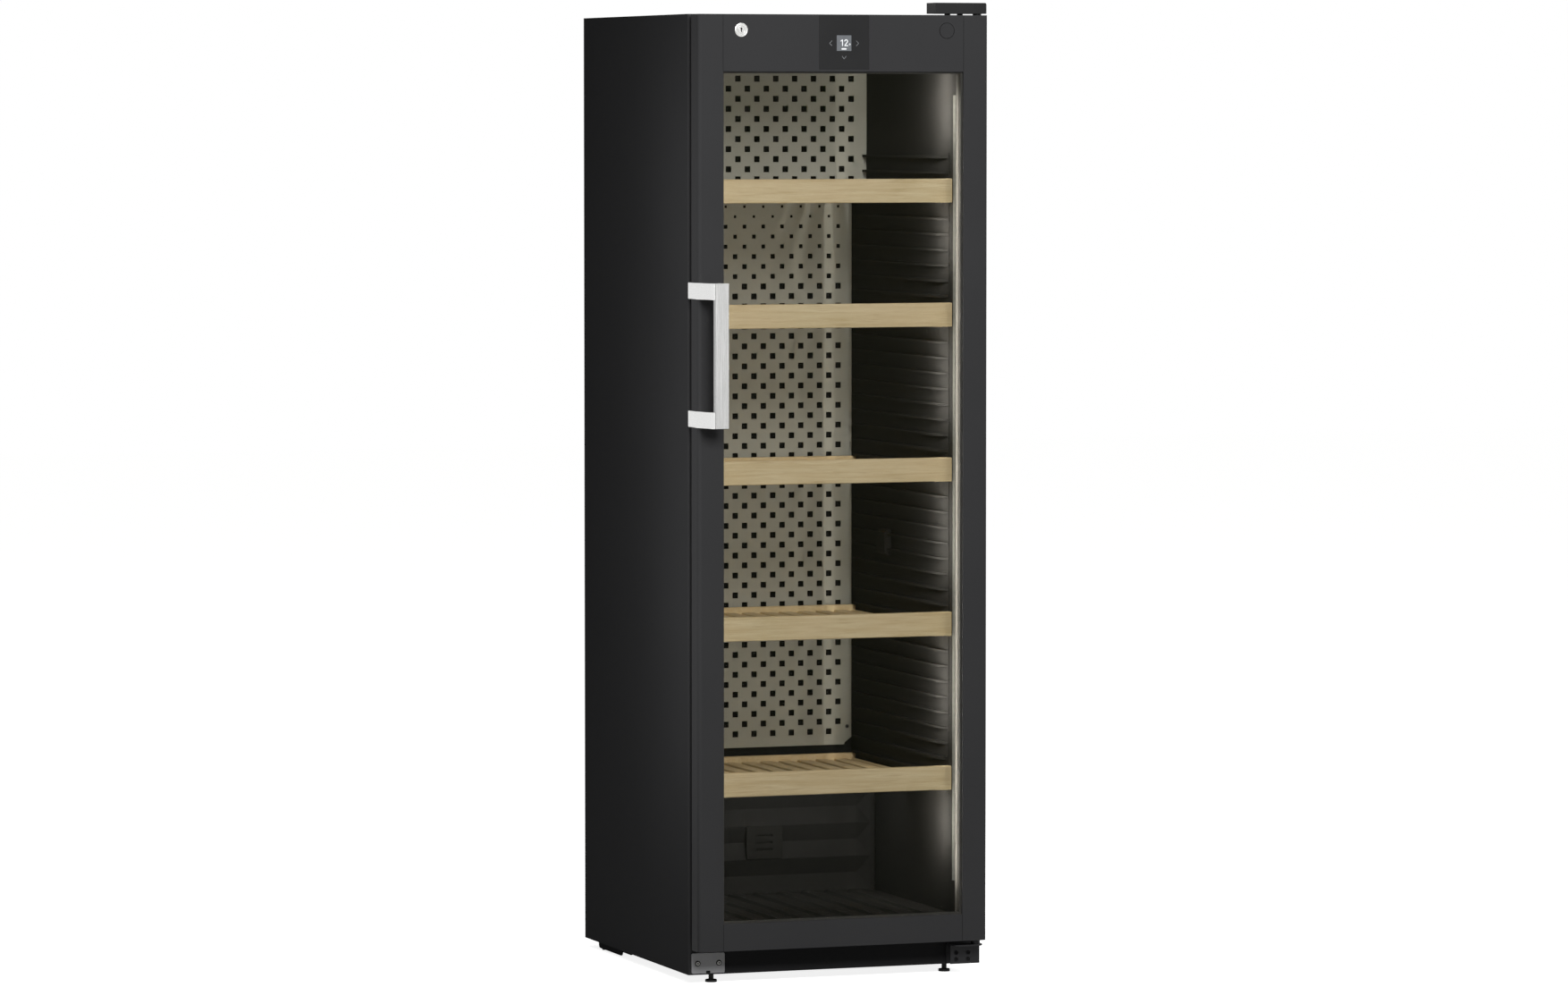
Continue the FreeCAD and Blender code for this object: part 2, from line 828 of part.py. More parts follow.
def fan_rotor():
    """Hub, shaft and pitched blades."""
    front = fan_front + fan_face_gap
    hub = rod(fan_hub, Vector(0, front, fan_z), Y, fan_hub_length)
    shaft = rod(fan_shaft, Vector(0, front, fan_z), Y, fan_frame_depth - fan_face_gap - sheet)
    radius = fan_bore / 2 - fan_blade_gap
    middle = front + fan_hub_length / 2
    blades = []
    for count in range(fan_blade_count):
        blade = block(0, radius, middle - fan_blade_thickness / 2, middle + fan_blade_thickness / 2,
                      fan_z - fan_blade_width / 2, fan_z + fan_blade_width / 2)
        blade.rotate(Vector(0, middle, fan_z), X, fan_blade_pitch)
        blade.rotate(Vector(0, middle, fan_z), Y, 360 / fan_blade_count * count)
        blades.append(blade)
    disc = rod(2 * radius, Vector(0, front - sheet, fan_z), Y, fan_hub_length + 2 * sheet)
    rotor = hub.fuse([blade.common(disc) for blade in blades]).fuse(shaft)
    return rotor.removeSplitter()


def step_cover():
    """Cover over the step: level grooves with sloped ends in its front, and the pocket of the air filter."""
    half = inner_half - panel_side_gap
    bottom = step_front - step_cover_sheet
    face = bottom - groove_depth
    side = half - step_cover_bevel
    plan = [(-half, step_front, liner_floor), (-half, face + step_cover_bevel, liner_floor),
            (-side, face, liner_floor), (side, face, liner_floor),
            (half, face + step_cover_bevel, liner_floor), (half, step_front, liner_floor)]
    front = prism(plan, Z * (step_height + step_cover_sheet))
    roof = block(-half, half, bottom, liner_back, step_top, step_top + step_cover_sheet)
    cover = front.fuse(roof).removeSplitter()
    outer = half - groove_border
    inner = outer - groove_end_run
    ends = prism([(-outer, face, liner_floor), (-inner, bottom, liner_floor), (inner, bottom, liner_floor),
                  (outer, face, liner_floor)], Z * step_height)
    grooves = int((step_height - groove_above_floor - groove_pitch / 2) / groove_pitch) + 1
    for groove in range(grooves):
        z = liner_floor + groove_above_floor + groove_pitch * groove
        vee = [(-half, face, z - groove_pitch / 2), (-half, bottom, z), (-half, face, z + groove_pitch / 2)]
        cover = cover.cut(prism(vee, X * (2 * half)).common(ends))
    return cover.cut(filter_room(filter_gap))


def filter_room(grow):
    """Place of the air filter in the step cover."""
    x0 = filter_x - filter_width / 2
    z0 = liner_floor + filter_z_above_floor - filter_height / 2
    return block(x0 - grow, x0 + filter_width + grow, step_front - filter_depth - step_cover_sheet,
                 step_front, z0 - grow, z0 + filter_height + grow)


def charcoal_filter():
    """Filter cartridge with three grip slots in its face."""
    cartridge = rounded(filter_room(0), filter_edge_radius, Y)
    face = step_front - filter_depth - step_cover_sheet
    z0 = liner_floor + filter_z_above_floor
    for row in (-1, 0, 1):
        z = z0 + filter_slot_pitch * row
        cartridge = cartridge.cut(block(filter_x - filter_slot_length / 2, filter_x + filter_slot_length / 2,
                                        face, face + filter_slot_height,
                                        z - filter_slot_height / 2, z + filter_slot_height / 2))
    return cartridge


def floor_tray():
    """Ridged tray on the compartment floor, one outline carried from front to back."""
    half = inner_half - tray_gap
    front = housing_front + light_front_gap + tray_gap
    back = step_front - step_cover_sheet - groove_depth - tray_gap
    low = liner_floor + tray_base
    high = low + tray_ridge_height
    outline = [(-half, front, liner_floor), (-half, front, low)]
    foot = tray_ridge_top / 2 + tray_ridge_flank
    ridges = int((half - foot) * 2 / tray_ridge_pitch)
    first = -tray_ridge_pitch * (ridges - 1) / 2
    for ridge in range(ridges):
        x = first + tray_ridge_pitch * ridge
        for dx, z in ((-foot, low), (-tray_ridge_top / 2, high), (tray_ridge_top / 2, high), (foot, low)):
            outline.append((x + dx, front, z))
    outline += [(half, front, low), (half, front, liner_floor)]
    return prism(outline, Y * (back - front))


def shelf(rib_number):
    """One beech shelf as its separate sticks: front rail, side rails, rear rail and slats."""
    seat = rib_first_top + rib_pitch * rib_number + glide_gap
    rail_back = shelf_front + front_rail_depth
    slats_end = shelf_back - rear_rail_depth
    front_rail = block(-shelf_half, shelf_half, shelf_front, rail_back, seat, seat + front_rail_height)
    rear_rail = block(-shelf_half, shelf_half, slats_end, shelf_back, seat, seat + rear_rail_height)
    sticks = [rounded(front_rail, wood_edge_radius, X), rounded(rear_rail, wood_edge_radius, X)]
    for x0 in (-shelf_half, shelf_half - side_rail_width):
        sticks.append(rounded(block(x0, x0 + side_rail_width, rail_back, slats_end,
                                    seat, seat + slat_thickness), wood_edge_radius, Y))
    room = 2 * (shelf_half - side_rail_width)
    slats = int((room - slat_width) / slat_pitch) + 1
    for count in range(slats):
        x = slat_pitch * (count - (slats - 1) / 2)
        slat = block(x - slat_width / 2, x + slat_width / 2, rail_back, slats_end,
                     seat, seat + slat_thickness)
        sticks.append(rounded(slat, wood_edge_radius, Y))
    return Part.makeCompound(sticks)


# Door
def stile():
    """Left door stile: a tray open to the back, with the lip that covers the glass."""
    body = block(-half_width, -glass_half, 0, door_thickness, door_bottom, door_top)
    body = rounded(body, door_edge_radius, Z, x=-half_width, y=0)
    inner_wall = seat_half + door_wall
    pocket = block(door_wall - half_width, -inner_wall, door_skin, door_thickness,
                   door_bottom + door_wall, door_top - door_wall)
    pocket = rounded(pocket, door_edge_radius - door_wall, Z, x=door_wall - half_width, y=door_skin)
    body = body.cut(pocket)
    body = body.cut(block(-seat_half, -glass_half, door_skin, door_thickness, door_bottom, door_top))
    return body.cut(block(door_wall - half_width, -glass_half, cover_front, door_thickness,
                          door_bottom + door_wall, door_top - door_wall))


def door_stile_left():
    """Left stile with the slots that the handle's lugs slide in."""
    body = stile()
    for bottom in arm_bottoms:
        middle = bottom + arm_height / 2
        reach = lug_height / 2 + guide_gap
        body = body.cut(block(-half_width, door_wall - half_width, lug_front - handle_travel - guide_gap,
                              lug_front + lug_length + guide_gap, middle - reach, middle + reach))
    return body


def door_stile_right():
    """Right stile with a hole for a hinge bush at each end."""
    body = mirrored(stile())
    width = hinge_bush + 2 * hinge_bush_gap
    for z in (door_bottom, door_top - door_wall):
        body = body.cut(rod(width, Vector(hinge_x, hinge_y, z), Z, door_wall))
    return body


def hinge_bushes():
    """Bush at each end of the right stile, with the bore that the hinge pin turns in."""
    bushes = []
    length = hinge_pin_engagement + hinge_gap
    for z in (door_bottom, door_top - length):
        bush = rod(hinge_bush, Vector(hinge_x, hinge_y, z), Z, length)
        bore = rod(hinge_pin + 2 * running_clearance, Vector(hinge_x, hinge_y, z), Z, length)
        bushes.append(bush.cut(bore))
    return Part.makeCompound(bushes)


def cross_rail(z0, z1, seat0, seat1):
    """Rail between the stiles: a channel open to the back, its glass seat between two heights."""
    rail = block(-glass_half, glass_half, 0, door_thickness, z0, z1)
    rail = rail.cut(block(-glass_half, glass_half, door_skin, door_thickness, seat0, seat1))
    inside = (z0 + door_wall, seat0 - door_wall) if seat0 > z0 else (seat1 + door_wall, z1 - door_wall)
    rail = rail.cut(block(-glass_half, glass_half, door_skin, door_thickness, *inside))
    return rail.cut(block(-glass_half, glass_half, cover_front, door_thickness,
                          z0 + door_wall, z1 - door_wall))


def door_header():
    """Top rail with the openings for the control panel, the lock and the plug."""
    rail = cross_rail(glass_top, door_top, glass_top, seat_top)
    half = panel_width / 2
    rail = rail.cut(block(-half, half, 0, door_skin, panel_bottom, panel_top))
    rail = rail.cut(rod(lock_barrel + 2 * lock_barrel_gap, Vector(lock_x, 0, lock_z), Y, door_skin))
    return rail.cut(rod(plug_size + 2 * panel_fit, Vector(plug_x, 0, lock_z), Y, door_skin))


def door_bottom_rail():
    return cross_rail(door_bottom, glass_bottom, seat_bottom, glass_bottom)


def glass_pane(y):
    """One sheet of the sealed glass unit."""
    half = seat_half - glass_gap
    return block(-half, half, y, y + pane, seat_bottom + glass_gap, seat_top - glass_gap)


def glass_spacer():
    half = seat_half - glass_gap - spacer_inset
    low = seat_bottom + glass_gap + spacer_inset
    high = seat_top - glass_gap - spacer_inset
    front = door_skin + pane
    return frame_ring(half, half - spacer_width, front, front + pane_gap,
                      (low, high), (low + spacer_width, high - spacer_width))


def door_inner_frame():
    """Back cover of the door with the bead that holds the glass."""
    inset = door_wall + back_cover_gap
    opening = (glass_bottom, glass_top)
    cover = frame_ring(half_width - inset, glass_half, cover_front, door_thickness,
                       (door_bottom + inset, door_top - inset), opening)
    bead = frame_ring(seat_half - glass_gap, glass_half, glass_back, cover_front,
                      (seat_bottom + glass_gap, seat_top - glass_gap), opening)
    frame = cover.fuse(bead).removeSplitter()
    barrel = lock_barrel + 2 * lock_barrel_gap
    frame = frame.cut(rod(barrel, Vector(lock_x, cover_front, lock_z), Y, back_cover))
    for middle in plunger_heights():
        frame = frame.cut(plunger_block(middle, cover_front, door_thickness, guide_gap))
    return frame


def door_gasket():
    """Magnetic seal: foot on the door, narrow bellows and the head that meets the housing."""
    back = housing_front - gasket_free_gap
    slim = (gasket_width - gasket_waist) / 2
    stages = ((door_thickness, door_thickness + gasket_foot, 0),
              (door_thickness + gasket_foot, back - gasket_head, slim),
              (back - gasket_head, back, 0))
    rings = []
    for y0, y1, inset in stages:
        outer = gasket_overlap - inset
        inner = gasket_overlap - gasket_width + inset
        rings.append(frame_ring(inner_half + outer, inner_half + inner, y0, y1,
                                (liner_floor - outer, liner_ceiling + outer),
                                (liner_floor - inner, liner_ceiling + inner)))
    return rings[0].fuse(rings[1:]).removeSplitter()


def control_panel():
    """Glossy plate in the header, with a window for the screen and posts for its board."""
    half = panel_width / 2 - panel_fit
    plate = block(-half, half, 0, door_skin, panel_bottom + panel_fit, panel_top - panel_fit)
    window = screen_size / 2 + panel_fit
    plate = plate.cut(block(-window, window, 0, door_skin, screen_z - window, screen_z + window))
    reach = board_size / 2 - board_post_inset
    posts = []
    for dx in (-reach, reach):
        for dz in (-reach, reach):
            posts.append(rod(board_post, Vector(dx, door_skin, board_z() + dz), Y, board_post_length))
    return plate.fuse(posts).removeSplitter()


def board_z():
    """Height of the middle of the control board."""
    return (panel_bottom + panel_top) / 2


def display_screen():
    half = screen_size / 2
    return block(-half, half, door_skin - screen_sheet, door_skin, screen_z - half, screen_z + half)


def control_board():
    """Circuit board on the panel's posts, with the block that carries the screen."""
    half = board_size / 2
    front = door_skin + board_post_length
    board = block(-half, half, front, front + board_sheet, board_z() - half, board_z() + half)
    carrier_half = screen_size / 2
    carrier = block(-carrier_half, carrier_half, door_skin, front,
                    screen_z - carrier_half, screen_z + carrier_half)
    return board.fuse(carrier).removeSplitter()


def lock_cylinder():
    """Fixed lock barrel with its round rose."""
    rose = rod(lock_rose, Vector(lock_x, 0, lock_z), FRONTWARD, lock_rose_height)
    rim = [edge for edge in rose.Edges if abs(edge.CenterOfMass.y + lock_rose_height) < near]
    rose = rose.makeFillet(lock_rose_height / 2, rim)
    length = door_thickness + lock_barrel_back
    barrel = rod(lock_barrel, Vector(lock_x, 0, lock_z), Y, length)
    bore = rod(lock_core + 2 * running_clearance, Vector(lock_x, -lock_rose_height, lock_z), Y,
               length + lock_rose_height)
    return rose.fuse(barrel).removeSplitter().cut(bore)


def lock_core_and_cam():
    """Turning core with its key slot, and the cam on its back end."""
    front = -lock_rose_height - lock_core_proud
    cam_front = door_thickness + cam_back - cam_thickness
    core = rod(lock_core, Vector(lock_x, front, lock_z), Y, cam_front - front)
    slot = block(lock_x - key_slot_width / 2, lock_x + key_slot_width / 2, front, front + key_slot_depth,
                 lock_z - key_slot_height / 2, lock_z + key_slot_height / 2)
    cam = block(lock_x - lock_core / 2, lock_x + cam_length, cam_front, cam_front + cam_thickness,
                lock_z - cam_width / 2, lock_z + cam_width / 2)
    cam = rounded(cam, cam_corner, Y)
    return core.cut(slot).fuse(cam).removeSplitter()


def lock_keeper():
    """Hook on the housing that the raised cam turns in behind."""
    left = keeper_left()
    bottom = keeper_bottom()
    top = bottom + keeper_height
    lip_front = door_thickness + keeper_front
    lip = block(left, left + keeper_web + keeper_width, lip_front, lip_front + keeper_lip, bottom, top)
    web = block(left, left + keeper_web, lip_front, housing_front, bottom, top)
    base = block(left - keeper_base_width, left, housing_front - keeper_base, housing_front, bottom, top)
    return drilled(lip.fuse([web, base]).removeSplitter())


def lock_blank_plug():
    """Plug in the second lock hole, for a door hung the other way."""
    plug = rod(plug_size, Vector(plug_x, -plug_proud, lock_z), Y, plug_proud + door_skin)
    rim = [edge for edge in plug.Edges if abs(edge.CenterOfMass.y + plug_proud) < near]
    return plug.makeFillet(plug_proud, rim)


# Handle
def handle_bar():
    bar = block(-bar_left, bar_width - bar_left, -handle_reach, bar_thickness - handle_reach,
                handle_bottom, handle_top)
    return rounded(bar, bar_edge_radius, Z)


def handle_arms():
    """Arm at each end of the bar, bent round the door's edge, with the lug that guides it."""
    front = -handle_reach
    arms = []
    for bottom in arm_bottoms:
        outline = [
            (-arm_outer, arm_back, bottom),
            (-arm_outer, arm_bend, bottom),
            (-bar_left - arm_front_inset, front + arm_chamfer, bottom),
            (-bar_left - arm_front_inset + arm_chamfer, front, bottom),
            (-bar_left - bar_edge_radius, front, bottom),
            (-bar_left, front + bar_edge_radius, bottom),
            (-bar_left, front + bar_thickness - bar_edge_radius, bottom),
            (-arm_inner, arm_bend, bottom),
            (-arm_inner, arm_back, bottom),
        ]
        arm = prism(outline, Z * arm_height)
        arm = arm.makeChamfer(arm_edge_bevel, level_edges(arm, outline[:4]))
        middle = bottom + arm_height / 2
        lug = block(-arm_inner, lug_reach - arm_inner, lug_front, lug_front + lug_length,
                    middle - lug_height / 2, middle + lug_height / 2)
        arms.append(arm.fuse(lug).removeSplitter())
    return Part.makeCompound(arms)


def plunger_heights():
    """Height of the middle of each plunger."""
    return [bottom + arm_height / 2 for bottom in arm_bottoms]


def plunger_block(middle, y0, y1, grow):
    """Square bar in the left stile at one arm's height."""
    left = -half_width + plunger_inset
    reach = lug_height / 2 + grow
    return block(left - grow, left + plunger_width + grow, y0, y1, middle - reach, middle + reach)


def push_plates():
    """Plungers that press the housing away when the handle is pulled."""
    back = housing_front - plunger_travel - plunger_stop_gap
    return Part.makeCompound([rounded(plunger_block(middle, plunger_front, back, 0), bar_edge_radius, Y)
                              for middle in plunger_heights()])


def handle_guides():
    """Rail above and below each lug and plunger, inside the left stile."""
    left = door_wall - half_width
    back = cover_front
    rails = []
    for middle in plunger_heights():
        reach = lug_height / 2 + guide_gap
        for z0 in (middle + reach, middle - reach - guide_thickness):
            rails.append(block(left, left + guide_width, back - guide_length, back, z0, z0 + guide_thickness))
    return Part.makeCompound(rails)


# Hinges
def hinge_bracket_top():
    """Plate over the door with its pin, held by two lugs and a foot on the housing's front."""
    bottom = hinge_plate_bottom
    plate = block(hinge_plate_left, hinge_plate_right, hinge_plate_front, housing_front,
                  bottom, bottom + hinge_plate)
    pin_length = hinge_gap + hinge_pin_engagement
    pin = rod(hinge_pin, Vector(hinge_x, hinge_y, bottom), DOWN, pin_length)
    shoulder = rod(hinge_bush, Vector(hinge_x, hinge_y, bottom), DOWN, hinge_gap - collar_gap)
    foot_bottom = bottom - hinge_foot_drop
    front = housing_front - hinge_plate
    pieces = [pin, shoulder]
    for x in hinge_lug_spots:
        pieces.append(block(x - hinge_lug / 2, x + hinge_lug / 2, front, housing_front, foot_bottom, bottom))
    reach = hinge_lug / 2 + hinge_foot_margin
    pieces.append(block(min(hinge_lug_spots) - reach, max(hinge_lug_spots) + reach, front, housing_front,
                        foot_bottom, foot_bottom + hinge_foot_height))
    return drilled(plate.fuse(pieces).removeSplitter())


def hinge_cover_top():
    """Cap over the top hinge, with two posts that stand on its plate."""
    bottom = hinge_plate_bottom
    top = bottom + hinge_cover_height
    right = hinge_cover_right
    back = hinge_cover_front + hinge_cover_depth
    cap = block(hinge_cover_left, right, hinge_cover_front, back, bottom, top)
    cap = cap.makeFillet(hinge_cover_radius, straight_edges(cap, Z, x=right, y=hinge_cover_front)
                         + straight_edges(cap, Y, x=right, z=top))
    wall = hinge_cover_wall
    inside = block(hinge_cover_left + wall, right - wall, hinge_cover_front + wall, back - wall,
                   bottom, top - wall)
    inside = rounded(inside, hinge_cover_radius - wall, Z, x=right - wall, y=hinge_cover_front + wall)
    slot = block(hinge_plate_left - hinge_cover_slot_gap, hinge_plate_right + hinge_cover_slot_gap,
                 back - wall, back, bottom, bottom + hinge_plate + hinge_cover_slot_gap)
    cap = cap.cut(inside).cut(slot)
    plate_top = bottom + hinge_plate
    middle = (hinge_cover_front + back) / 2
    posts = [rod(hinge_cover_post, Vector(x, middle, plate_top), Z, top - wall - plate_top)
             for x in hinge_lug_spots]
    return cap.fuse(posts).removeSplitter()


def hinge_bracket_bottom():
    """Folded bracket on the plinth: back plate, leaf with the pin, and an apron with access holes."""
    thick = bottom_hinge_sheet
    x0 = bottom_hinge_left
    x1 = bottom_hinge_right
    under_leaf = bottom_hinge_leaf_top - thick
    back_plate = block(x0, x1, housing_front - thick, housing_front, bottom_hinge_bottom, under_leaf)
    leaf = block(x0, x1, bottom_hinge_leaf_front, housing_front, under_leaf, bottom_hinge_leaf_top)
    leaf = rounded(leaf, bottom_hinge_nose_radius, Z, y=bottom_hinge_leaf_front)
    apron = block(x0, x1, bottom_hinge_apron, bottom_hinge_apron + thick, bottom_hinge_bottom, under_leaf)
    for seat in bottom_hinge_screw_seats():
        apron = apron.cut(rod(access_hole, Vector(seat.x, bottom_hinge_apron, seat.z), Y, thick))
    top = Vector(hinge_x, hinge_y, bottom_hinge_leaf_top)
    rise = door_bottom - bottom_hinge_leaf_top
    collar = rod(bottom_hinge_collar, top, Z, rise - collar_gap)
    pin = rod(hinge_pin, top, Z, rise + hinge_pin_engagement)
    return drilled(back_plate.fuse([leaf, apron, collar, pin]).removeSplitter())


def corner_plate_left():
    """Plate that closes the corner where a door hung the other way has its hinge."""
    left = corner_plate_inset - half_width
    right = left + corner_plate_width
    front = housing_front - corner_plate_sheet
    plate = block(left, right, front, housing_front,
                  corner_plate_bottom, corner_plate_bottom + corner_plate_height)
    plate = rounded(plate, corner_plate_sheet, Y)
    middle = (left + right) / 2
    notch = block(middle - corner_notch_width / 2, middle + corner_notch_width / 2, front, housing_front,
                  corner_plate_bottom, corner_plate_bottom + corner_notch_height)
    return drilled(plate.cut(notch))


# Feet and rollers
def foot(side):
    """Levelling foot: a disc on the floor and the stem that screws into the boss."""
    spot = Vector(side * foot_x, foot_y, 0)
    disc = rod(foot_disc, spot, Z, foot_disc_height)
    rim = [edge for edge in disc.Edges if abs(edge.CenterOfMass.z - foot_disc_height) < near]
    disc = disc.makeFillet(foot_disc_edge, rim)
    return disc.fuse(rod(foot_stem, spot, Z, foot_stem_length)).removeSplitter()


def roller(side):
    """Transport roller at the back, bored for its pin."""
    radius = roller_diameter / 2
    spot = Vector(side * roller_x - roller_width / 2, roller_y, radius)
    wheel = rod(roller_diameter, spot, X, roller_width)
    return wheel.cut(rod(roller_pin + 2 * running_clearance, spot, X, roller_width))


# Machine room
def compressor_y():
    return (machine_front + housing_back) / 2


def compressor_bottom():
    """Underside of the compressor's foot plate, on its rubber mounts."""
    return base_top + mount_height


def compressor_block(half_x, half_y, z0, z1):
    """Box centred on the compressor's place."""
    return block(compressor_x - half_x, compressor_x + half_x,
                 compressor_y() - half_y, compressor_y() + half_y, z0, z1)


def compressor_pot(inset):
    """Rounded pot of the compressor, drawn in by a wall."""
    half_x = compressor_length / 2 - inset
    half_y = compressor_depth / 2 - inset
    z0 = compressor_bottom() + compressor_plate - compressor_sink + inset
    pot = compressor_block(half_x, half_y, z0, z0 + compressor_height - 2 * inset)
    return pot.makeFillet(compressor_radius - inset, pot.Edges)


def compressor():
    """Hermetic pot on its foot plate, with an open suction pipe."""
    half_x = compressor_length / 2 + compressor_plate_overhang
    half_y = compressor_depth / 2
    z0 = compressor_bottom()
    plate = compressor_block(half_x, half_y, z0, z0 + compressor_plate)
    middle = z0 + compressor_plate - compressor_sink + compressor_height / 2
    start = Vector(compressor_x - compressor_length / 2 + compressor_wall, compressor_y(), middle)
    pipe = rod(compressor_pipe, start, X * -1, compressor_pipe_length)
    bore = rod(compressor_pipe_bore, start + X * compressor_wall, X * -1,
               compressor_pipe_length + compressor_wall)
    pot = compressor_pot(0).fuse([plate, pipe]).removeSplitter()
    return pot.cut(compressor_pot(compressor_wall)).cut(bore)


def compressor_mounts():
    """Rubber buffer under each corner of the compressor's foot plate."""
    reach_x = compressor_length / 2 + compressor_plate_overhang - mount_inset
    reach_y = compressor_depth / 2 - mount_inset
    buffers = []
    for dx in (-reach_x, reach_x):
        for dy in (-reach_y, reach_y):
            spot = Vector(compressor_x + dx, compressor_y() + dy, base_top)
            buffers.append(rod(mount_diameter, spot, Z, mount_height))
    return Part.makeCompound(buffers)


def drip_tray():
    """Open dish on top of the compressor that catches the melt water."""
    z0 = compressor_bottom() + compressor_plate - compressor_sink + compressor_height
    half_x = drip_tray_length / 2
    half_y = drip_tray_depth / 2
    wall = drip_tray_wall
    dish = compressor_block(half_x, half_y, z0, z0 + drip_tray_height)
    return dish.cut(compressor_block(half_x - wall, half_y - wall, z0 + wall, z0 + drip_tray_height))


def condenser_coil():
    """Serpentine tube of straight runs and half turns, with two stays that stand on the floor sheet."""
    y = housing_back - condenser_from_back
    z0 = base_top + condenser_bottom_gap
    turn = condenser_pitch / 2
    left = turn - condenser_left
    right = -condenser_right - turn
    edges = []
    for run in range(condenser_runs):
        z = z0 + condenser_pitch * run
        start, end = (left, right) if run % 2 == 0 else (right, left)
        edges.append(Part.LineSegment(Vector(start, y, z), Vector(end, y, z)).toShape())
        if run < condenser_runs - 1:
            out = turn if run % 2 == 0 else -turn
            edges.append(Part.Arc(Vector(end, y, z), Vector(end + out, y, z + turn),
                                  Vector(end, y, z + condenser_pitch)).toShape())
    ring = Part.Wire(Part.makeCircle(condenser_tube / 2, Vector(left, y, z0), X))
    tube = Part.Wire(edges).makePipeShell([ring], True, True)
    stay_front = y + condenser_tube / 2 + condenser_stay_gap
    stay_back = stay_front + condenser_stay_sheet
    stay_top = z0 + condenser_pitch * condenser_runs
    half = condenser_stay_width / 2
    stays = []
    for x in (left + condenser_stay_inset, right - condenser_stay_inset):
        stays.append(block(x - half, x + half, stay_front, stay_back, base_top, stay_top))
    return Part.makeCompound([tube] + stays)


def machine_room_cover():
    """Back cover of the machine room with rows of louvres and the opening for the inlet."""
    half = half_width - back_return
    y = housing_back - sheet
    wires = [sheet_wire(half, y, base_top, machine_top)]
    columns = int((half - louvre_margin - louvre_width / 2) / louvre_pitch_x)
    rows = int((machine_top - base_top - 2 * louvre_margin) / louvre_pitch_z) + 1
    for row in range(rows):
        z = machine_top - louvre_margin - louvre_pitch_z * row
        for column in range(-columns, columns + 1):
            x = louvre_pitch_x * column
            beside_inlet = abs(x - inlet_x) < (louvre_width + inlet_width) / 2 + inlet_wall
            if beside_inlet and z < inlet_z + inlet_height:
                continue
            wires.append(hole_wire(x, y, z, louvre_width, louvre_height))
    opening_width = inlet_width + 2 * inlet_gap
    wires.append(hole_wire(inlet_x, y, inlet_z, opening_width, inlet_height + 2 * inlet_gap))
    return Part.Face(wires).extrude(Y * sheet)


def mains_inlet():
    """Appliance inlet for a separate lead: an open socket with its three contact blades."""
    x0 = inlet_x - inlet_width / 2
    z0 = inlet_z - inlet_height / 2
    front = housing_back - inlet_depth
    body = block(x0, x0 + inlet_width, front, housing_back, z0, z0 + inlet_height)
    body = body.cut(block(x0 + inlet_wall, x0 + inlet_width - inlet_wall, front + inlet_floor, housing_back,
                          z0 + inlet_wall, z0 + inlet_height - inlet_wall))
    blades = []
    for step, drop in ((-1, -inlet_pin_drop), (0, inlet_pin_drop), (1, -inlet_pin_drop)):
        x = inlet_x + inlet_pin_pitch * step
        blades.append(block(x - inlet_pin_thickness / 2, x + inlet_pin_thickness / 2, front + inlet_floor,
                            front + inlet_floor + inlet_pin_length,
                            inlet_z + drop - inlet_pin_width / 2, inlet_z + drop + inlet_pin_width / 2))
    return body.fuse(blades).removeSplitter()


parts = {
    "side_panel_left": drilled(side_panel()),
    "side_panel_right": drilled(mirrored(side_panel())),
    "top_panel": top_panel(),
    "back_panel": back_panel(),
    "plinth": plinth(),
    "base_pan": base_pan(),
    "inner_liner": inner_liner(),
    "insulation_foam": insulation_foam(),
    "rib_strips": rib_strips(),
    "sensor_cover": sensor_cover(),
    "light_columns": light_columns(),
    "upper_air_panel": upper_air_panel(),
    "rear_air_panel": rear_air_panel(),
    "evaporator_plate": evaporator_plate(),
    "fan_housing": fan_housing(),
    "fan_rotor": fan_rotor(),
    "step_cover": step_cover(),
    "charcoal_filter": charcoal_filter(),
    "floor_tray": floor_tray(),
    "door_stile_left": door_stile_left(),
    "door_stile_right": door_stile_right(),
    "door_header": door_header(),
    "door_bottom_rail": door_bottom_rail(),
    "door_inner_frame": door_inner_frame(),
    "glass_outer": glass_pane(door_skin),
    "glass_inner": glass_pane(door_skin + pane + pane_gap),
    "glass_spacer": glass_spacer(),
    "door_gasket": door_gasket(),
    "control_panel": control_panel(),
    "display_screen": display_screen(),
    "control_board": control_board(),
    "lock_cylinder": lock_cylinder(),
    "lock_core": lock_core_and_cam(),
    "lock_keeper": lock_keeper(),
    "lock_blank_plug": lock_blank_plug(),
    "handle_bar": handle_bar(),
    "handle_arms": handle_arms(),
    "handle_guides": handle_guides(),
    "push_plates": push_plates(),
    "hinge_bracket_top": hinge_bracket_top(),
    "hinge_cover_top": hinge_cover_top(),
    "hinge_bracket_bottom": hinge_bracket_bottom(),
    "hinge_bushes": hinge_bushes(),
    "corner_plate_left": corner_plate_left(),
    "body_screws": body_screws(),
    "foot_left": foot(-1),
    "foot_right": foot(1),
    "roller_left": roller(-1),
    "roller_right": roller(1),
    "compressor": compressor(),
    "compressor_mounts": compressor_mounts(),
    "drip_tray": drip_tray(),
    "condenser_coil": condenser_coil(),
    "machine_room_cover": machine_room_cover(),
    "mains_inlet": mains_inlet(),
}
for number, rib_number in enumerate(shelf_ribs, start=1):
    parts[f"shelf_{number}"] = shelf(rib_number)

# The origin is in the middle of the base of the whole part's box
os.makedirs("parts", exist_ok=True)
for name, shape in parts.items():
    shape.translate(origin * -1)
    shape.exportStep(f"parts/{name}.step")
    print(name, len(shape.Solids), "solids", round(shape.Volume / 1000, 1), "cm3", shape.isValid())
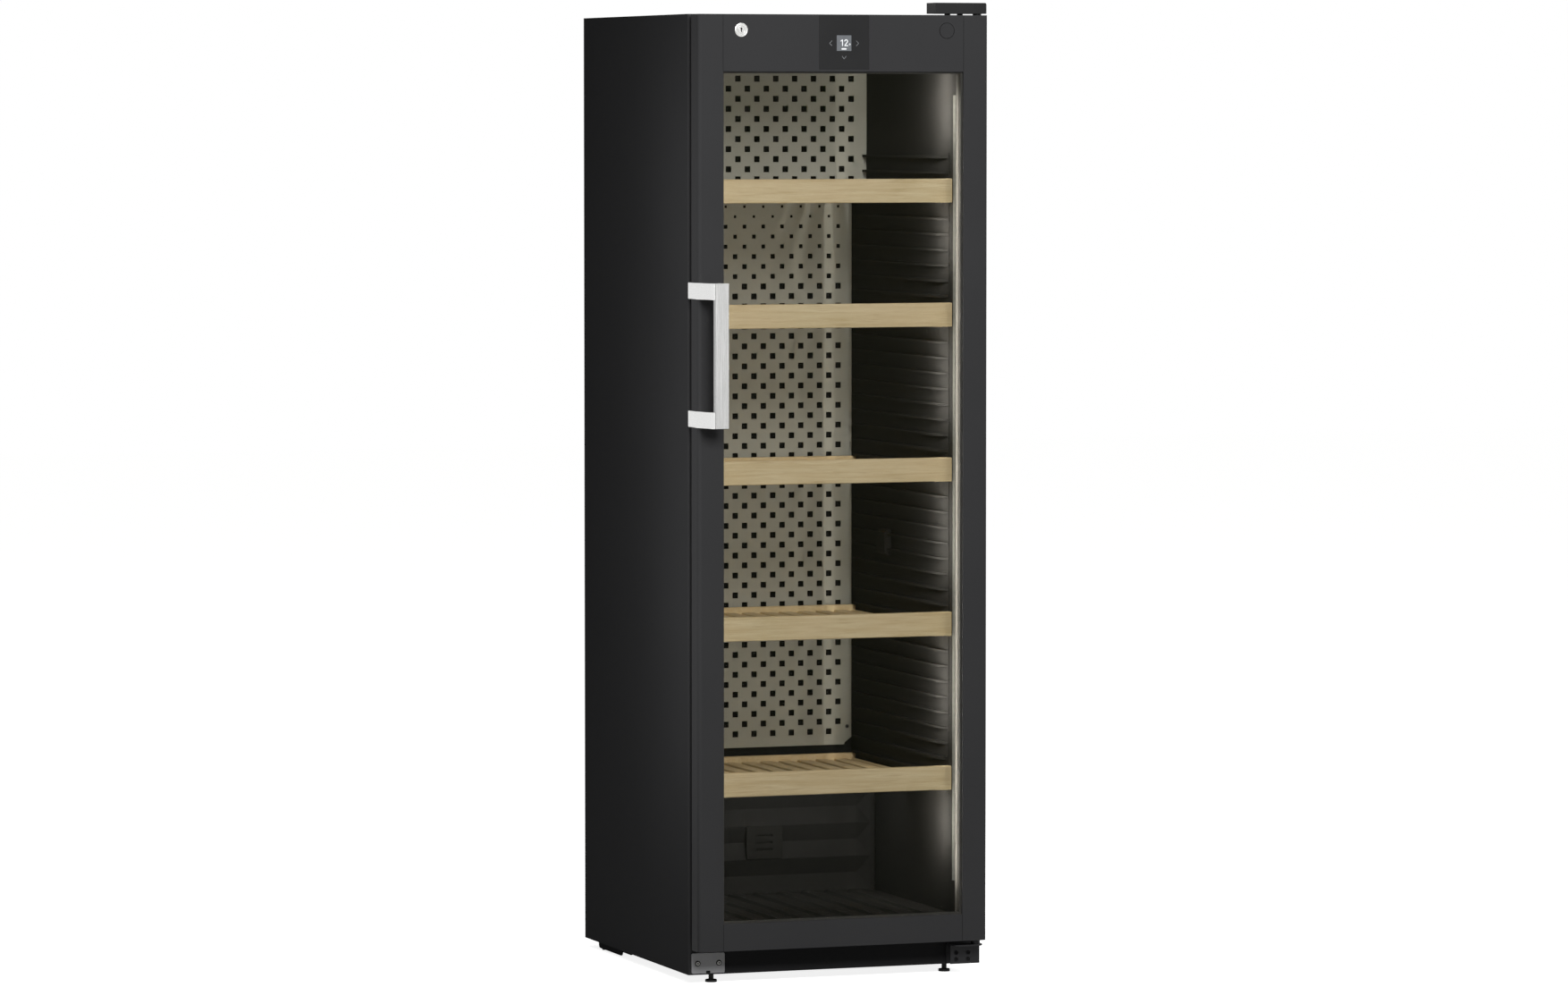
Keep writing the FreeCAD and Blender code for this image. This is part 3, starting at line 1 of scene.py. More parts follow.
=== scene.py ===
# %% [markdown]
# # A wine cabinet with a glass door
# The cabinet's parts come from its construction model, each one already in its place and at its size.
# This lesson gives every part the finish of its real material, adds the small things that a drawing
# leaves out, such as the lit numerals and the folds of the door seal, and sets up the camera and light.

# %% Load the parts
import bmesh
import bpy
import numpy as np
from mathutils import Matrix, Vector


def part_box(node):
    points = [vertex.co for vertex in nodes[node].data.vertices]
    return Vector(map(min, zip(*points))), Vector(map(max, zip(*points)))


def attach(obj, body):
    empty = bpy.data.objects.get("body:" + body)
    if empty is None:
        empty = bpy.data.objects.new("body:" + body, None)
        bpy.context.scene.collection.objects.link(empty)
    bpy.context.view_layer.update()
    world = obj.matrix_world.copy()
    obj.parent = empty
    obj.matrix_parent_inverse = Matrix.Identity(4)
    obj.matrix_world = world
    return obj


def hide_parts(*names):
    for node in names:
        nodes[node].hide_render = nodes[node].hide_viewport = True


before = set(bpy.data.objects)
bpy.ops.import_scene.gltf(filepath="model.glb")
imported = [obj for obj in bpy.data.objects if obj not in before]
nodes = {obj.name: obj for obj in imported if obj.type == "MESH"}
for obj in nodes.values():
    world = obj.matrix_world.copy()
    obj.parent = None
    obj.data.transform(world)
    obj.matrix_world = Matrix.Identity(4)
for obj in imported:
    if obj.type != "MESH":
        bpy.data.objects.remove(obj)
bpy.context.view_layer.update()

MM = 0.001


# %% [markdown]
# ## Tools for materials
# A finish is a small network of nodes. One function adds a node: its settings are either properties of
# the node or values of its inputs, and an input that is given an output of another node is linked to it.
# Nodes with several inputs of one name are fed by number. A Math node has its two values at 0 and 1. A
# Mix node has its factor at 0, then two plain values at 2 and 3, two vectors at 4 and 5 and two colours
# at 6 and 7, and gives their mixtures at the outputs 0, 1 and 2. Colours are written as the sRGB hex
# values that a colour picker shows. The renderer adds light, so it needs them on a linear scale, and
# one function does that step for every colour.

# %% Colour and node tools
def linear(hex_colour):
    """Linear colour of an sRGB hex value: each channel c becomes ((c + 0.055) / 1.055) to the power
    2.4, and a very dark one c / 12.92."""
    channels = np.array([int(hex_colour[at:at + 2], 16) for at in (1, 3, 5)]) / 255
    curve = np.where(channels <= 0.04045, channels / 12.92, ((channels + 0.055) / 1.055) ** 2.4)
    return (*curve.tolist(), 1.0)


def add(tree, kind, inputs=None, **properties):
    """Adds one node to a tree, with its properties, input values and links."""
    made = tree.nodes.new(kind)
    for name, value in properties.items():
        setattr(made, name, value)
    for socket, value in (inputs or {}).items():
        if isinstance(value, bpy.types.NodeSocket):
            tree.links.new(value, made.inputs[socket])
        else:
            made.inputs[socket].default_value = value
    return made


def start_material(name, **sockets):
    """New material with its shader's plain values set; returns it with its tree, shader and place."""
    material = bpy.data.materials.new(name)
    material.use_nodes = True
    tree = material.node_tree
    shader = tree.nodes["Principled BSDF"]
    for socket, value in sockets.items():
        shader.inputs[socket.replace("_", " ")].default_value = value
    place = add(tree, "ShaderNodeTexCoord").outputs["Object"]
    return material, tree, shader, place


def dress(material, *names):
    """Gives a material to parts of the construction model."""
    for name in names:
        nodes[name].data.materials.clear()
        nodes[name].data.materials.append(material)
    print(material.name, "on", len(names), "parts")


print("linear value of mid grey:", np.round(linear("#808080"), 3).tolist())


# %% [markdown]
# ## Powder-coated sheet
# The housing is steel with a charcoal powder coat, and the plinth and the floor pan have a darker one.
# Powder melts into a skin with a soft orange-peel surface, so it scatters light and shows hardly any
# mirror image. A fine bump and a slow change of tone keep so dark a coat a surface. The peel is about
# 0.8 mm wide on the real sheet and is drawn at 3 mm so that it shows. The air panels have the same kind
# of coat in light grey, and the brackets have it in black. The cold plate behind the air panels is
# coloured near black as painted shade: it stands for the dark cavity seen through their holes.

# %% Powder coat
peel_share = 0.35
peel_height = 0.05 * MM
coat_swing = 0.06


def powder_coat(name, dark, light, roughness, gloss, peel_mm=3.0, cloud_mm=260.0):
    """Coat whose tone drifts between two colours over a slow cloud, with orange-peel bump."""
    material, tree, shader, place = start_material(name, Roughness=roughness, Specular_IOR_Level=gloss)
    cloud = add(tree, "ShaderNodeTexNoise",
                {"Vector": place, "Scale": 1 / (cloud_mm * MM), "Detail": 3.0})
    peel = add(tree, "ShaderNodeTexNoise",
               {"Vector": place, "Scale": 1 / (peel_mm * MM), "Detail": 2.0})
    speck = add(tree, "ShaderNodeMix", {0: peel_share, 2: cloud.outputs["Fac"], 3: peel.outputs["Fac"]})
    tone = add(tree, "ShaderNodeMix", {0: speck.outputs[0], 6: linear(dark), 7: linear(light)},
               data_type="RGBA")
    spread = add(tree, "ShaderNodeMapRange",
                 {"Value": cloud.outputs["Fac"], "To Min": roughness - coat_swing,
                  "To Max": roughness + coat_swing})
    bump = add(tree, "ShaderNodeBump",
               {"Strength": 0.25, "Distance": peel_height, "Height": peel.outputs["Fac"]})
    tree.links.new(tone.outputs[2], shader.inputs["Base Color"])
    tree.links.new(spread.outputs[0], shader.inputs["Roughness"])
    tree.links.new(bump.outputs[0], shader.inputs["Normal"])
    return material


housing_coat = powder_coat("charcoal powder-coated steel", "#2f2f30", "#383839", roughness=0.62,
                           gloss=0.001)
dress(housing_coat, "side_panel_left", "side_panel_right", "top_panel")
base_coat = powder_coat("black powder-coated steel", "#262627", "#2f2f30", roughness=0.62, gloss=0.001)
dress(base_coat, "plinth", "base_pan")
air_panel = powder_coat("light grey powder-coated steel", "#ababa0", "#c0c0b5", roughness=0.6, gloss=0.1)
dress(air_panel, "upper_air_panel", "rear_air_panel")
bracket_coat = powder_coat("black coated bracket steel", "#18181a", "#252526", roughness=0.45,
                           gloss=0.12, cloud_mm=40.0)
dress(bracket_coat, "hinge_bracket_top", "hinge_bracket_bottom", "lock_keeper")
# The cold plate's near black is painted shade: it stands for the dark cavity behind the holes of the air
# panels.
cavity_shade_cold_plate = powder_coat("near-black aluminium cold plate as painted shade", "#10100f", "#191917", roughness=0.5,
                         gloss=0.05, cloud_mm=80.0)
dress(cavity_shade_cold_plate, "evaporator_plate")


# %% [markdown]
# ## Coated door frame
# The door's stiles and rails are aluminium with a charcoal coat like that of the sides, but smoother:
# its orange peel is finer and it keeps a trace of sheen.

# %% Door frame
frame_coat = powder_coat("charcoal coated aluminium", "#2f2f30", "#363637", roughness=0.5,
                         gloss=0.01, peel_mm=2.0)
dress(frame_coat, "door_stile_left", "door_stile_right", "door_header", "door_bottom_rail")


# %% [markdown]
# ## Galvanised sheet
# The back and the cover of the machine room are zinc-coated sheet. Zinc sets in crystals, the
# spangle, each of which throws light its own way. Voronoi cells about 14 mm wide give each crystal its
# own brightness and its own roughness.

# %% Galvanised sheet
spangle_width = 14 * MM
ripple_width = 60 * MM
ripple_height = 0.3 * MM
zinc, tree, shader, place = start_material("galvanised steel", Metallic=0.85)
spangle = add(tree, "ShaderNodeTexVoronoi", {"Vector": place, "Scale": 1 / spangle_width})
crystal = add(tree, "ShaderNodeSeparateColor", {"Color": spangle.outputs["Color"]})
tone = add(tree, "ShaderNodeMix", {0: crystal.outputs[0], 6: linear("#84888b"), 7: linear("#a2a6a8")},
           data_type="RGBA")
spread = add(tree, "ShaderNodeMapRange", {"Value": crystal.outputs[1], "To Min": 0.38, "To Max": 0.6})
ripple = add(tree, "ShaderNodeTexNoise", {"Vector": place, "Scale": 1 / ripple_width, "Detail": 4.0})
bump = add(tree, "ShaderNodeBump",
           {"Strength": 0.3, "Distance": ripple_height, "Height": ripple.outputs["Fac"]})
tree.links.new(tone.outputs[2], shader.inputs["Base Color"])
tree.links.new(spread.outputs[0], shader.inputs["Roughness"])
tree.links.new(bump.outputs[0], shader.inputs["Normal"])
dress(zinc, "back_panel", "machine_room_cover")


# %% [markdown]
# ## Moulded plastics
# The liner, its ribs, the covers, the feet and the small trim are moulded or vacuum-formed plastic. A
# mould leaves a fine grain, like leather with the creases taken out, and plastic has the usual
# reflection of a clear skin, an index of refraction near 1.5. The grain is the distance to the nearest
# Voronoi cell, about 1 mm on the real part and drawn at 2 mm, and a slow noise varies the sheen. The
# anodised spacer between the panes and the enamel of the compressor and its coil have as fine a skin, so
# they share it.

# %% Moulded plastics
flow_width = 90 * MM
grain_height = 0.06 * MM
mould_swing = 0.08


def moulded(name, dark, light, roughness, gloss=0.5, grain_mm=2.0):
    """Plastic with moulded grain: the bump is low in the middle of each cell and high between cells."""
    material, tree, shader, place = start_material(name, IOR=1.5, Specular_IOR_Level=gloss)
    grain = add(tree, "ShaderNodeTexVoronoi", {"Vector": place, "Scale": 1 / (grain_mm * MM)})
    flow = add(tree, "ShaderNodeTexNoise", {"Vector": place, "Scale": 1 / flow_width, "Detail": 4.0})
    tone = add(tree, "ShaderNodeMix", {0: flow.outputs["Fac"], 6: linear(dark), 7: linear(light)},
               data_type="RGBA")
    spread = add(tree, "ShaderNodeMapRange",
                 {"Value": flow.outputs["Fac"], "To Min": roughness - mould_swing,
                  "To Max": roughness + mould_swing})
    bump = add(tree, "ShaderNodeBump",
               {"Strength": 0.2, "Distance": grain_height, "Height": grain.outputs["Distance"]})
    tree.links.new(tone.outputs[2], shader.inputs["Base Color"])
    tree.links.new(spread.outputs[0], shader.inputs["Roughness"])
    tree.links.new(bump.outputs[0], shader.inputs["Normal"])
    return material


liner = moulded("black vacuum-formed polystyrene", "#232322", "#2b2a29", 0.5, gloss=0.02)
dress(liner, "inner_liner", "rib_strips", "step_cover", "floor_tray", "sensor_cover", "fan_housing",
      "fan_rotor", "drip_tray")
trim = moulded("black moulded trim plastic", "#101011", "#1a1a1b", 0.45, gloss=0.15)
dress(trim, "hinge_cover_top", "push_plates", "handle_guides", "hinge_bushes", "mains_inlet")
dress(moulded("grey frame plastic", "#6a6863", "#767470", 0.5, gloss=0.2), "door_inner_frame")
dress(moulded("charcoal plug plastic", "#2f2f30", "#363637", 0.5, gloss=0.01), "lock_blank_plug")
dress(moulded("grey corner plate plastic", "#8a8a8c", "#949496", 0.55, gloss=0.2), "corner_plate_left")
dress(moulded("black foot plastic", "#101010", "#1a1a1a", 0.55, gloss=0.15), "foot_left", "foot_right",
      "roller_left", "roller_right")
dress(moulded("dark filter plastic", "#222221", "#2b2a28", 0.6, gloss=0.02), "charcoal_filter")
dress(moulded("glossy black panel plastic", "#0e0e0f", "#131314", 0.16, gloss=0.3), "control_panel")
dress(moulded("grey anodised spacer", "#3c3b38", "#464542", 0.5, gloss=0.05), "glass_spacer")
dress(moulded("black enamelled steel", "#0e0e0f", "#191919", 0.3), "compressor", "condenser_coil")


# %% [markdown]
# ## Seal rubber
# The door seal and the compressor's buffers are soft dark rubber: rough, with a dusty bloom that comes
# and goes over a few centimetres.

# %% Seal rubber
bloom_width = 35 * MM
rubber, tree, shader, place = start_material("dark seal rubber", Specular_IOR_Level=0.1)
bloom = add(tree, "ShaderNodeTexNoise", {"Vector": place, "Scale": 1 / bloom_width, "Detail": 6.0})
tone = add(tree, "ShaderNodeMix", {0: bloom.outputs["Fac"], 6: linear("#2a2a28"), 7: linear("#42413d")},
           data_type="RGBA")
spread = add(tree, "ShaderNodeMapRange", {"Value": bloom.outputs["Fac"], "To Min": 0.6, "To Max": 0.85})
tree.links.new(tone.outputs[2], shader.inputs["Base Color"])
tree.links.new(spread.outputs[0], shader.inputs["Roughness"])
dress(rubber, "door_gasket", "compressor_mounts")


# %% [markdown]
# ## Beech
# The shelves are oiled beech. Its eye-catchers are pale bands that run with the grain, a few
# millimetres wide, and short darker flecks. The grain follows each stick, so the front and rear rails
# are cut along x and the side rails and slats along y; a mask on the depth tells them apart. Noise that
# is stretched 25 times along the grain makes the bands, and the same at a finer pitch makes the flecks.

# %% Beech, the way of the grain
grain_stretch = 25
front_rail_depth = 18 * MM
rear_rail_depth = 12 * MM
low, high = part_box("shelf_1")
front_rail_back = low.y + front_rail_depth
rear_rail_front = high.y - rear_rail_depth
beech, tree, shader, place = start_material("oiled beech", Specular_IOR_Level=0.3)
axes = add(tree, "ShaderNodeSeparateXYZ", {"Vector": place})
in_front = add(tree, "ShaderNodeMath", {0: axes.outputs["Y"], 1: front_rail_back},
               operation="LESS_THAN")
in_rear = add(tree, "ShaderNodeMath", {0: axes.outputs["Y"], 1: rear_rail_front},
              operation="GREATER_THAN")
rails = add(tree, "ShaderNodeMath", {0: in_front.outputs[0], 1: in_rear.outputs[0]},
            operation="MAXIMUM")
along_x = add(tree, "ShaderNodeMapping", {"Vector": place, "Scale": (1 / grain_stretch, 1, 1)})
along_y = add(tree, "ShaderNodeMapping", {"Vector": place, "Scale": (1, 1 / grain_stretch, 1)})
grain = add(tree, "ShaderNodeMix", {0: rails.outputs[0], 4: along_y.outputs[0], 5: along_x.outputs[0]},
            data_type="VECTOR")
print("slats between y", round(front_rail_back, 4), "and", round(rear_rail_front, 4))

# %% Beech, bands and flecks
band_width = 9 * MM
fleck_width = 2.2 * MM
fleck_height = 0.2 * MM
drift_width = 240 * MM
bands = add(tree, "ShaderNodeTexNoise",
            {"Vector": grain.outputs[1], "Scale": 1 / band_width, "Detail": 5.0, "Roughness": 0.6,
             "Distortion": 1.4})
streaks = add(tree, "ShaderNodeMapRange",
              {"Value": bands.outputs["Fac"], "From Min": 0.34, "From Max": 0.66})
flecks = add(tree, "ShaderNodeTexNoise",
             {"Vector": grain.outputs[1], "Scale": 1 / fleck_width, "Detail": 2.0})
drift = add(tree, "ShaderNodeTexNoise", {"Vector": place, "Scale": 1 / drift_width, "Detail": 2.0})
tone = add(tree, "ShaderNodeMix", {0: streaks.outputs[0], 6: linear("#d0bd8b"), 7: linear("#f6e7be")},
           data_type="RGBA")
warm = add(tree, "ShaderNodeMix", {0: drift.outputs["Fac"], 6: tone.outputs[2], 7: linear("#e8cda0")},
           data_type="RGBA")
fleck = add(tree, "ShaderNodeMapRange",
            {"Value": flecks.outputs["Fac"], "From Min": 0.56, "From Max": 0.72, "To Max": 0.4})
colour = add(tree, "ShaderNodeMix", {0: fleck.outputs[0], 6: warm.outputs[2], 7: linear("#b49b69")},
             data_type="RGBA")
spread = add(tree, "ShaderNodeMapRange", {"Value": bands.outputs["Fac"], "To Min": 0.42, "To Max": 0.6})
bump = add(tree, "ShaderNodeBump",
           {"Strength": 0.15, "Distance": fleck_height, "Height": flecks.outputs["Fac"]})
tree.links.new(colour.outputs[2], shader.inputs["Base Color"])
tree.links.new(spread.outputs[0], shader.inputs["Roughness"])
tree.links.new(bump.outputs[0], shader.inputs["Normal"])
dress(beech, "shelf_1", "shelf_2", "shelf_3", "shelf_4", "shelf_5")


# %% [markdown]
# ## Brushed steel
# The handle is stainless steel, brushed along its length: up and down on the bar, front to back on the
# arms. Brushing is a comb of tiny scratches, about 0.1 mm apart and drawn at 1.5 mm so that it shows.
# Noise stretched along the brushing drives the tone, the roughness and a faint bump. The screws are
# zinc-plated and have the same noise without a direction.

# %% Brushed steel
scratch_width = 1.5 * MM
scratch_height = 0.05 * MM
scratch_swing = 0.1
scratch_stretch = 1 / 50


def brushed(name, stretch, pale, dark, roughness):
    """Steel whose scratches run along the axis with the small stretch factor."""
    material, tree, shader, place = start_material(name, Metallic=1.0)
    along = add(tree, "ShaderNodeMapping", {"Vector": place, "Scale": stretch})
    comb = add(tree, "ShaderNodeTexNoise",
               {"Vector": along.outputs[0], "Scale": 1 / scratch_width, "Detail": 3.0, "Roughness": 0.7})
    tone = add(tree, "ShaderNodeMix", {0: comb.outputs["Fac"], 6: linear(dark), 7: linear(pale)},
               data_type="RGBA")
    spread = add(tree, "ShaderNodeMapRange",
                 {"Value": comb.outputs["Fac"], "To Min": roughness - scratch_swing,
                  "To Max": roughness + scratch_swing})
    bump = add(tree, "ShaderNodeBump",
               {"Strength": 0.15, "Distance": scratch_height, "Height": comb.outputs["Fac"]})
    tree.links.new(tone.outputs[2], shader.inputs["Base Color"])
    tree.links.new(spread.outputs[0], shader.inputs["Roughness"])
    tree.links.new(bump.outputs[0], shader.inputs["Normal"])
    return material


upright = (1, 1, scratch_stretch)
lengthwise = (1, scratch_stretch, 1)
dress(brushed("steel brushed up and down", upright, "#c9c9c8", "#a9a9a8", 0.27), "handle_bar")
dress(brushed("steel brushed front to back", lengthwise, "#e8e8e7", "#dadad9", 0.27), "handle_arms")
dress(brushed("dark zinc-plated screw steel", (1, 1, 1), "#6a6a68", "#525250", 0.42), "body_screws")


# %% [markdown]
# ## Turned nickel
# The lock's rose and core are nickel-plated and were turned on a lathe, which leaves rings around the
# axis. A wave texture of rings, centred on the lock by a Mapping node, gives them at 0.8 mm apart. At a
# scale of 1 this texture's waves are 0.314 long.

# %% Turned nickel
ring_pitch = 0.8 * MM
wave_length = 0.314
low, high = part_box("lock_cylinder")
lock_x, lock_z = (low.x + high.x) / 2, (low.z + high.z) / 2
nickel, tree, shader, place = start_material("turned nickel plate", Metallic=1.0)
centred = add(tree, "ShaderNodeMapping", {"Vector": place, "Location": (-lock_x, 0, -lock_z)})
rings = add(tree, "ShaderNodeTexWave", {"Vector": centred.outputs[0], "Scale": wave_length / ring_pitch},
            wave_type="RINGS", rings_direction="Y")
tone = add(tree, "ShaderNodeMix", {0: rings.outputs["Fac"], 6: linear("#a9a9a7"), 7: linear("#c0c0be")},
           data_type="RGBA")
spread = add(tree, "ShaderNodeMapRange", {"Value": rings.outputs["Fac"], "To Min": 0.2, "To Max": 0.3})
tree.links.new(tone.outputs[2], shader.inputs["Base Color"])
tree.links.new(spread.outputs[0], shader.inputs["Roughness"])
dress(nickel, "lock_cylinder", "lock_core")


# %% [markdown]
# ## Tinted panes
# The door holds two panes of tinted glass. What the eye gets from them is a darker, slightly green
# interior and almost no mirror image. Real glass bends each ray twice a pane, which costs many samples
# for a picture that doesn't change. A thin dark film with a plain alpha lets lamps and sight through
# in the same way, and a noise in the roughness stands for wiped glass.

# %% Tinted panes
wipe_width = 120 * MM
glass, tree, shader, place = start_material("tinted window glass", Base_Color=linear("#14160f"),
                                            Alpha=0.1, Specular_IOR_Level=0.03)
wipe = add(tree, "ShaderNodeTexNoise",
           {"Vector": place, "Scale": 1 / wipe_width, "Detail": 5.0, "Distortion": 1.5})
spread = add(tree, "ShaderNodeMapRange", {"Value": wipe.outputs["Fac"], "To Min": 0.02, "To Max": 0.12})
tree.links.new(spread.outputs[0], shader.inputs["Roughness"])
dress(glass, "glass_outer", "glass_inner")


# %% [markdown]
# ## Lit strips and the screen
# Each side wall has an opal strip with light-emitting diodes behind it. Opal plastic blurs them to an
# even glow with a faint beat, one diode every 16 mm. The screen is a small backlit panel: grey, with a
# pixel raster of about 0.3 mm that is drawn at 1 mm so that it shows.

# %% Lit strips
diode_pitch = 16 * MM
opal, tree, shader, place = start_material("opal light diffuser", Base_Color=linear("#54544e"),
                                           Roughness=0.5, Specular_IOR_Level=0.2,
                                           Emission_Strength=0.12)
axes = add(tree, "ShaderNodeSeparateXYZ", {"Vector": place})
turn = add(tree, "ShaderNodeMath", {0: axes.outputs["Z"], 1: 2 * np.pi / diode_pitch},
           operation="MULTIPLY")
beat = add(tree, "ShaderNodeMath", {0: turn.outputs[0]}, operation="SINE")
share = add(tree, "ShaderNodeMapRange", {"Value": beat.outputs[0], "From Min": -1.0})
glow = add(tree, "ShaderNodeMix", {0: share.outputs[0], 6: linear("#d6d8cf"), 7: linear("#eef0e8")},
           data_type="RGBA")
tree.links.new(glow.outputs[2], shader.inputs["Emission Color"])
dress(opal, "light_columns")

# %% Screen
pixel_width = 1 * MM
patch_width = 7 * MM
raster_share = 0.3
screen, tree, shader, place = start_material("backlit screen", Base_Color=linear("#34363a"),
                                             Roughness=0.2, Specular_IOR_Level=0.3,
                                             Emission_Strength=0.45)
raster = add(tree, "ShaderNodeTexVoronoi",
             {"Vector": place, "Scale": 1 / pixel_width, "Randomness": 0.0})
patch = add(tree, "ShaderNodeTexNoise", {"Vector": place, "Scale": 1 / patch_width, "Detail": 2.0})
level = add(tree, "ShaderNodeMix",
            {0: raster_share, 2: patch.outputs["Fac"], 3: raster.outputs["Distance"]})
glow = add(tree, "ShaderNodeMix", {0: level.outputs[0], 6: linear("#75797c"), 7: linear("#9a9ea1")},
           data_type="RGBA")
tree.links.new(glow.outputs[2], shader.inputs["Emission Color"])
dress(screen, "display_screen")


# %% [markdown]
# ## What the panels hide
# The foam in the walls and the control board only show when the cabinet is taken apart, but each has
# its own finish: foam is a pale honey froth of cells about 3 mm wide, and the board is green lacquer
# over copper tracks, here a pattern of bricks 6 mm long. At a scale of 1 a brick of this texture is 0.5
# long.

# %% Foam
cell_width = 3 * MM
cell_depth = 0.5 * MM
foam, tree, shader, place = start_material("rigid insulation foam", Roughness=0.9,
                                           Specular_IOR_Level=0.1)
cells = add(tree, "ShaderNodeTexVoronoi", {"Vector": place, "Scale": 1 / cell_width})
depth = add(tree, "ShaderNodeMapRange", {"Value": cells.outputs["Distance"], "From Max": 0.8})
tone = add(tree, "ShaderNodeMix", {0: depth.outputs[0], 6: linear("#b79c63"), 7: linear("#dcc894")},
           data_type="RGBA")
bump = add(tree, "ShaderNodeBump",
           {"Strength": 0.5, "Distance": cell_depth, "Height": cells.outputs["Distance"]})
tree.links.new(tone.outputs[2], shader.inputs["Base Color"])
tree.links.new(bump.outputs[0], shader.inputs["Normal"])
dress(foam, "insulation_foam")

# %% Board
track_length = 6 * MM
brick_length = 0.5
board, tree, shader, place = start_material("green lacquered circuit board", Roughness=0.35)
flat = add(tree, "ShaderNodeMapping", {"Vector": place, "Rotation": (np.pi / 2, 0, 0)})
tracks = add(tree, "ShaderNodeTexBrick",
             {"Vector": flat.outputs[0], "Scale": brick_length / track_length,
              "Color1": linear("#14472c"), "Color2": linear("#1a5735"), "Mortar": linear("#2f7d4a"),
              "Mortar Size": 0.06})
tree.links.new(tracks.outputs["Color"], shader.inputs["Base Color"])
dress(board, "control_board")


# %% [markdown]
# ## New pieces from formulas
# A new piece is a sheet of points worked out with numpy: a function of two parameters, or an outline
# carried along a path. The points of one sheet form a grid with rows and columns, and one function
# turns such grids into a mesh. The columns close on themselves, and points that coincide, as at a pole
# or where the last row meets the first, are merged so that the skin has no seam.

# %% From grids to a mesh
merge_distance = 1e-7


def piece_from_grids(name, grids, body, material):
    """One piece from closed grids of shape rows x columns x 3, whose columns run round the outline."""
    corners = []
    faces = []
    start = 0
    for grid in grids:
        rows, columns = grid.shape[:2]
        index = start + np.arange(rows * columns).reshape(rows, columns)
        beside = np.roll(index, -1, axis=1)
        quads = np.stack([index[:-1], beside[:-1], beside[1:], index[1:]], axis=-1)
        corners.append(grid.reshape(-1, 3))
        faces.append(quads.reshape(-1, 4))
        start += rows * columns
    mesh = bpy.data.meshes.new(name)
    mesh.from_pydata(np.concatenate(corners).tolist(), [], np.concatenate(faces).tolist())
    shape = bmesh.new()
    shape.from_mesh(mesh)
    bmesh.ops.remove_doubles(shape, verts=shape.verts, dist=merge_distance)
    bmesh.ops.dissolve_degenerate(shape, edges=shape.edges, dist=merge_distance / 10)
    bmesh.ops.recalc_face_normals(shape, faces=shape.faces)
    shape.to_mesh(mesh)
    shape.free()
    mesh.polygons.foreach_set("use_smooth", np.ones(len(mesh.polygons), dtype=bool))
    mesh.materials.append(material)
    piece = bpy.data.objects.new(name, mesh)
    bpy.context.scene.collection.objects.link(piece)
    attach(piece, body)
    print(name, "has", len(mesh.polygons), "faces")
    return piece


print("points closer than", merge_distance, "m become one")


# %% [markdown]
# ## Numerals and touch marks
# The screen shows a temperature, a plain 12 with a small degree ring and a status bar under it, and the
# panel around it has three touch marks. Each is a stroke: a path in the plane of the door with a flat
# oval carried along it, and round ends that shrink as the cosine while they move on as the sine.

# %% Strokes
end_rows = 4
oval_points = 12


def stroke(path, width, thickness, middle_y):
    """Flat oval of a width and thickness along a path of x and z, closed by round ends.

    Each row is the path's point plus the in-plane normal times half the width times cos(a), plus y
    times half the thickness times sin(a), with a running round the oval."""
    path = np.asarray(path, dtype=float)
    run = np.gradient(path, axis=0)
    run /= np.linalg.norm(run, axis=1, keepdims=True)
    bend = np.linspace(0, np.pi / 2, end_rows + 1)[1:]
    ahead = path[-1] + np.outer(np.sin(bend), run[-1]) * width / 2
    behind = path[0] - np.outer(np.sin(bend), run[0]) * width / 2
    line = np.concatenate([behind[::-1], path, ahead])
    run = np.concatenate([np.repeat(run[:1], end_rows, 0), run, np.repeat(run[-1:], end_rows, 0)])
    swell = np.concatenate([np.cos(bend)[::-1], np.ones(len(path)), np.cos(bend)])
    angle = np.linspace(0, 2 * np.pi, oval_points, endpoint=False)
    across = (swell * width / 2)[:, None] * np.cos(angle)
    x = line[:, :1] - run[:, 1:] * across
    z = line[:, 1:] + run[:, :1] * across
    y = middle_y + (swell * thickness / 2)[:, None] * np.sin(angle)
    return np.stack([x, y, z], axis=-1)


def polyline(points, count=24):
    """Points spread evenly along straight runs between corner points."""
    points = np.asarray(points, dtype=float)
    length = np.concatenate([[0], np.cumsum(np.linalg.norm(np.diff(points, axis=0), axis=1))])
    at = np.linspace(0, length[-1], count)
    return np.stack([np.interp(at, length, points[:, 0]), np.interp(at, length, points[:, 1])], axis=1)


def arc(centre, radius, first, last, count=24):
    """Points on a circle from one angle to another, in degrees."""
    angle = np.radians(np.linspace(first, last, count))
    return np.asarray(centre) + radius * np.stack([np.cos(angle), np.sin(angle)], axis=1)


print("a stroke has", oval_points, "points round it and", end_rows, "rows in each end")

# %% Numerals
fade_width = 2 * MM
low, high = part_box("display_screen")
base = np.array([(low.x + high.x) / 2, (low.z + high.z) / 2])
one = base + np.array([[-6.4, 4.0], [-3.2, 6.4], [-3.2, -4.9]]) * MM
two_top = arc(base + np.array([4.2, 3.5]) * MM, 2.9 * MM, 170, -40)
two_foot = polyline(base + np.array([[6.4, 1.6], [1.2, -4.9], [7.6, -4.9]]) * MM)
degree = arc(base + np.array([11.6, -2.3]) * MM, 1.2 * MM, 0, 330)
status = polyline(base + np.array([[-4.0, -11.2], [3.8, -11.2]]) * MM)
numerals_white, tree, shader, place = start_material("lit white numerals", Base_Color=linear("#8a8c8e"),
                                                     Roughness=0.4, Emission_Strength=0.7)
fade = add(tree, "ShaderNodeTexNoise", {"Vector": place, "Scale": 1 / fade_width})
glow = add(tree, "ShaderNodeMix", {0: fade.outputs["Fac"], 6: linear("#e8ecee"), 7: linear("#ffffff")},
           data_type="RGBA")
tree.links.new(glow.outputs[2], shader.inputs["Emission Color"])
lit_depth = 0.2 * MM
lit_y = low.y - lit_depth / 2
numeral_width, degree_width, status_width = 1.8 * MM, 0.9 * MM, 2.8 * MM
